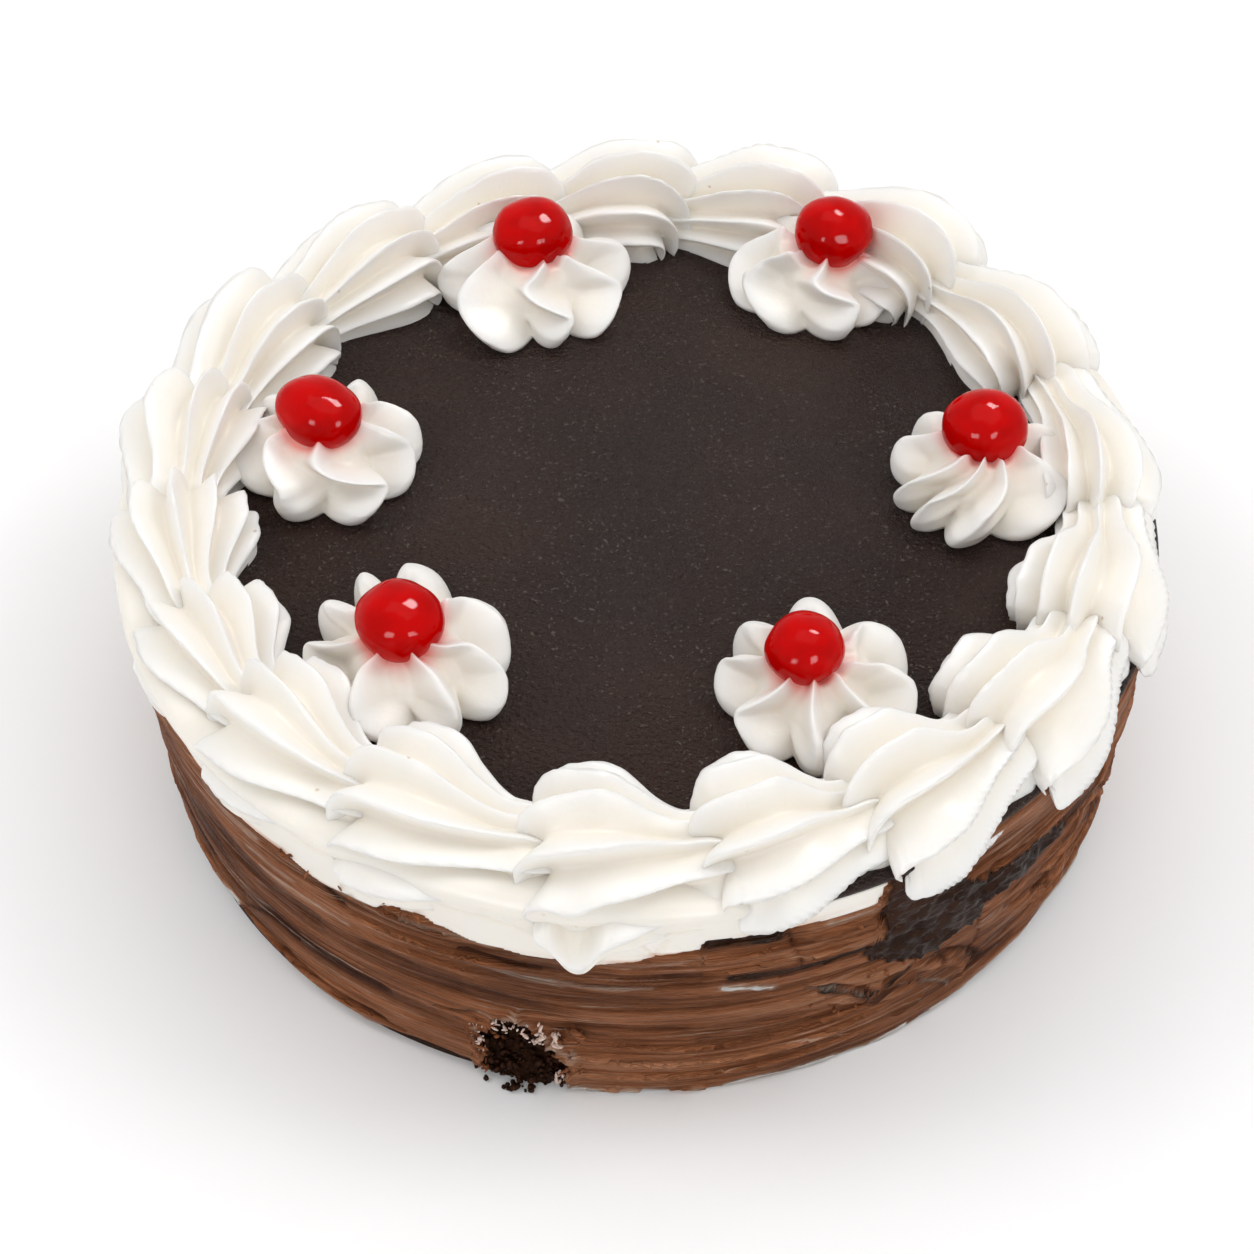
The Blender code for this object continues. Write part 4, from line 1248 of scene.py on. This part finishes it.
def make_sponge(name):
    """The sponge, with close rows and columns where the hollow is torn out of it."""
    degrees = TEAR[0] + np.concatenate((np.linspace(-9, 9, 260), np.linspace(9.5, 350.5, 150)))
    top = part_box("sponge")[1].z
    height = np.concatenate((np.linspace(0.0, 0.034, 180), np.linspace(0.035, top, 12)))[:, None]
    height = height + 0 * degrees
    angle = np.radians(degrees)
    hollow = hollow_depth(degrees, height)
    radius = side_radius(height) - SPONGE_INSET - hollow
    rough = smooth(0.0, 0.001, np.abs(hollow)) * 0.0016 * LUMPS.layers(polar(angle, radius, height), 330, 4)
    torn = smooth(0.0022, 0.0, hollow) * smooth(0.0, 0.0006, hollow) * smooth(0.012, 0.018, height)
    grid = polar(angle, radius + rough, height)
    return layer_disc(name, grid, {"torn": torn}, 0.0, top, SPONGE_HUB)


# Crumbs, shards and flakes


@functools.cache
def crumb_tree():
    """Geometry nodes that set a rough crumb on each point, with inputs for size, stretch and raggedness."""
    tree = bpy.data.node_groups.new("rough_crumbs", "GeometryNodeTree")
    tree.interface.new_socket("Geometry", in_out="OUTPUT", socket_type="NodeSocketGeometry")
    sockets = {"Points": "Geometry", "Size": "Float", "Stretch": "Vector", "Raggedness": "Float"}
    for label, kind in {**sockets, "Seed": "Int", "Finish": "Material"}.items():
        tree.interface.new_socket(label, in_out="INPUT", socket_type=f"NodeSocket{kind}")
    nodes = Nodes(tree)
    given = {socket.name: Value(nodes, socket) for socket in nodes.node("NodeGroupInput").outputs}
    own_size = nodes.value("GeometryNodeInputNamedAttribute", {"data_type": "FLOAT"}, {"Name": "size"})

    def scaled(vector, by):
        return nodes.value("ShaderNodeVectorMath", {"operation": "SCALE"}, {"Vector": vector, "Scale": by})

    ball = nodes.value("GeometryNodeMeshIcoSphere", None, {"Radius": 1.0, "Subdivisions": 2}, "Mesh")
    inputs = {"Max": (math.tau, math.tau, math.tau), "Seed": given["Seed"]}
    turn = nodes.value("FunctionNodeRandomValue", {"data_type": "FLOAT_VECTOR"}, inputs)
    scale = scaled(scaled(given["Stretch"], given["Size"]), own_size)
    inputs = {"Points": given["Points"], "Instance": ball, "Rotation": turn, "Scale": scale}
    crumbs = nodes.value("GeometryNodeInstanceOnPoints", None, inputs)
    crumbs = nodes.value("GeometryNodeRealizeInstances", None, {"Geometry": crumbs})
    place = nodes.value("GeometryNodeInputPosition")
    inputs = {"Vector": place, "Scale": 650.0, "Detail": 2.0}
    waves = nodes.value("ShaderNodeTexNoise", None, inputs, "Color")
    swing = nodes.value("ShaderNodeVectorMath", {"operation": "SUBTRACT"}, (waves, (0.5, 0.5, 0.5)))
    swing = scaled(swing, given["Raggedness"] * own_size)
    crumbs = nodes.value("GeometryNodeSetPosition", None, {"Geometry": crumbs, "Offset": swing})
    crumbs = nodes.value("GeometryNodeSetShadeSmooth", None, {"Geometry": crumbs})
    crumbs = nodes.value("GeometryNodeSetMaterial", None, {"Geometry": crumbs, "Material": given["Finish"]})
    nodes.node("NodeGroupOutput", None, {"Geometry": crumbs})
    return tree


def scatter(rng, places, name, finish, slot, mean, spread, stretch, raggedness, smudge):
    """One joined mesh of crumbs, one on each place, with its size drawn round a mean."""
    size = bpy.context.scene.cake_sizes.crumb_size
    mesh = bpy.data.meshes.new(name)
    mesh.vertices.add(len(places))
    fill(mesh.vertices, "co", places)
    drawn = rng.lognormal(0.0, spread, len(places)) * mean
    fill(mesh.attributes.new("size", "FLOAT", "POINT").data, "value", drawn)
    points = new_object(name + "_points", mesh)
    modifier = points.modifiers.new("crumbs", "NODES")
    modifier.node_group = crumb_tree()
    inputs = {"Size": size, "Stretch": stretch, "Raggedness": raggedness * size, "Seed": 5}
    inputs["Finish"] = finish_named(finish)
    for item in modifier.node_group.interface.items_tree:
        if item.in_out == "INPUT" and item.name in inputs:
            modifier[item.identifier] = inputs[item.name]
    points.update_tag()
    made = bpy.data.meshes.new_from_object(points.evaluated_get(bpy.context.evaluated_depsgraph_get()))
    bpy.data.objects.remove(points)
    if "size" in made.attributes:
        made.attributes.remove(made.attributes["size"])
    if smudge:
        smudges = made.attributes.new("smudge", "FLOAT", "POINT")
        fill(smudges.data, "value", np.full(len(made.vertices), smudge))
    finish_piece(new_object(name, made), finish, slot)


def in_hollow(rng):
    """Random places on the floor of the torn hollow."""
    height = rng.uniform(0.001, 0.024, HOLLOW_CRUMBS)
    degrees = TEAR[0] + rng.uniform(-6, 6, HOLLOW_CRUMBS)
    kept = torn_hole(degrees, height) > -0.05
    radius = side_radius(height) - SPONGE_INSET - hollow_depth(degrees, height)
    return polar(np.radians(degrees), radius + rng.uniform(0.0, 0.0012, HOLLOW_CRUMBS), height)[kept]


def on_side(rng, rows, out_by):
    """Random places on the side, from rows of counts, angles (degrees) and heights (mm) from and to."""
    places = []
    for count, low, high, foot, top in rows:
        height = rng.uniform(foot, top, count) / 1000
        degrees = rng.uniform(low, high, count)
        radius = side_radius(height) + out_by * rng.uniform(0.2, 1.0, count)
        places.append(polar(np.radians(degrees), radius, height))
    return np.concatenate(places)


# Operators


def make_numbered(make, rows, name, node, finish):
    """Makes a piece from each row of a table, in place of the solid with the same number."""
    for number, row in enumerate(rows, 1):
        piece = make(name.format(number), number, row)
        finish_piece(piece, finish, finish, node.format(number))


class CAKE_OT_shells(bpy.types.Operator):
    """Pipe the shells of the border"""

    bl_idname = "cake.shells"
    bl_label = "Shell border"

    def execute(self, context):
        make_numbered(make_shell, SHELLS, "cream_shell_{:02d}", "shell_{:02d}", "cream")
        return {"FINISHED"}


class CAKE_OT_rosettes(bpy.types.Operator):
    """Pipe the rosettes"""

    bl_idname = "cake.rosettes"
    bl_label = "Rosettes"

    def execute(self, context):
        make_numbered(make_rosette, ROSETTES, "cream_rosette_{}", "rosette_{}", "cream")
        return {"FINISHED"}


class CAKE_OT_cherries(bpy.types.Operator):
    """Set a candied cherry on each rosette"""

    bl_idname = "cake.cherries"
    bl_label = "Cherries"

    def execute(self, context):
        make_numbered(make_cherry, CHERRIES, "candied_cherry_{}", "cherry_{}", "cherry")
        return {"FINISHED"}


class CAKE_OT_top(bpy.types.Operator):
    """Pour the glaze over the top"""

    bl_idname = "cake.top"
    bl_label = "Glazed top"

    def execute(self, context):
        finish_piece(make_glaze("glazed_top"), "glaze", "glaze", "top_glaze")
        return {"FINISHED"}


class CAKE_OT_side(bpy.types.Operator):
    """Spread the chocolate round the side and show the cream above it"""

    bl_idname = "cake.side"
    bl_label = "Side"

    def execute(self, context):
        frosting = make_frosting("side_frosting_spread")
        finish_piece(frosting, "frosting", "chocolate_frosting", "side_frosting")
        finish_piece(make_cream_layer("cream_band"), "cream", "cream", "cream_layer")
        return {"FINISHED"}


class CAKE_OT_sponge(bpy.types.Operator):
    """Bake the sponge with its torn hollow"""

    bl_idname = "cake.sponge"
    bl_label = "Sponge"

    def execute(self, context):
        finish_piece(make_sponge("sponge_body"), "sponge", "sponge", "sponge")
        return {"FINISHED"}


class CAKE_OT_crumbs(bpy.types.Operator):
    """Scatter the crumbs, torn shards of cream and flakes of chocolate"""

    bl_idname = "cake.crumbs"
    bl_label = "Crumbs and flakes"

    def execute(self, context):
        rng = np.random.default_rng(7)
        on_rim = np.array(CRUMBS_ON_RIM) / 1000
        scatter(rng, np.concatenate((in_hollow(rng), on_side(rng, FALLEN_CRUMBS, 0.0035), on_rim)), *CRUMBS)
        scatter(rng, on_side(rng, CREAM_SHARDS, 0.0012), *SHARDS)
        scatter(rng, on_side(rng, FROSTING_FLAKES, 0.0010), *FLAKES)
        return {"FINISHED"}


def add_light(name, place, width, height, power, diffuse, glossy):
    """A soft light that faces the cake."""
    light = bpy.data.lights.new(name, "AREA")
    light.shape = "RECTANGLE"
    light.size = width
    light.size_y = height
    light.energy = power
    lamp = new_object(name, light)
    lamp.location = place
    lamp.visible_diffuse = diffuse
    lamp.visible_glossy = glossy
    lamp.rotation_euler = (Vector((0, 0, 0.05)) - Vector(place)).to_track_quat("-Z", "Y").to_euler()


class CAKE_OT_stage(bpy.types.Operator):
    """Lay the floor and set the lights and the camera"""

    bl_idname = "cake.stage"
    bl_label = "Stage"

    def execute(self, context):
        scene = context.scene
        corners = np.array([(x, y, FLOOR_HEIGHT) for x, y in FLOOR_CORNERS])
        floor = new_object("floor", mesh_of("floor", corners, [np.array([[0, 1, 2, 3]])]))
        floor.data.materials.append(finish_named("floor"))
        for light in LIGHTS:
            add_light(*light)
        scene.world = bpy.data.worlds.new("soft_studio")
        scene.world.use_nodes = True
        back = scene.world.node_tree.nodes["Background"]
        back.inputs["Color"].default_value = (1.0, 1.0, 1.0, 1.0)
        back.inputs["Strength"].default_value = WORLD_STRENGTH
        scene.view_settings.view_transform = "Standard"
        camera = bpy.data.cameras.new("camera")
        camera.lens = CAMERA_LENS
        camera.sensor_width = CAMERA_SENSOR
        camera.clip_start = 0.01
        camera.clip_end = 20.0
        right, up = Vector(CAMERA_RIGHT), Vector(CAMERA_UP)
        turn = Matrix((right, up, right.cross(up))).transposed()
        scene.camera = new_object("camera", camera)
        scene.camera.matrix_world = Matrix.Translation(CAMERA_PLACE) @ turn.to_4x4()
        return {"FINISHED"}


OPERATORS = (
    CAKE_OT_sponge,
    CAKE_OT_side,
    CAKE_OT_top,
    CAKE_OT_shells,
    CAKE_OT_rosettes,
    CAKE_OT_cherries,
    CAKE_OT_crumbs,
    CAKE_OT_stage,
)


class CAKE_PT_panel(bpy.types.Panel):
    """Lists the pieces of the cake and their sizes and colours"""

    bl_idname = "CAKE_PT_panel"
    bl_label = "Chocolate cake"
    bl_space_type = "VIEW_3D"
    bl_region_type = "UI"
    bl_category = "Cake"

    def draw(self, context):
        column = self.layout.column()
        for operator in OPERATORS:
            column.operator(operator.bl_idname)
        for group in (context.scene.cake_sizes, context.scene.cake_colours):
            for name in group.__annotations__:
                column.prop(group, name)


CLASSES = (CakeColours, CakeSizes, *OPERATORS, CAKE_PT_panel)


def register():
    for item in CLASSES:
        bpy.utils.register_class(item)
    bpy.types.Scene.cake_colours = PointerProperty(type=CakeColours)
    bpy.types.Scene.cake_sizes = PointerProperty(type=CakeSizes)


def unregister():
    del bpy.types.Scene.cake_colours
    del bpy.types.Scene.cake_sizes
    for item in reversed(CLASSES):
        bpy.utils.unregister_class(item)


def main():
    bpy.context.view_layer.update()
    register()
    bpy.ops.cake.sponge()
    bpy.ops.cake.side()
    bpy.ops.cake.top()
    bpy.ops.cake.shells()
    bpy.ops.cake.rosettes()
    bpy.ops.cake.cherries()
    bpy.ops.cake.crumbs()
    bpy.ops.cake.stage()
    bpy.context.view_layer.update()


if __name__ == "__main__":
    main()
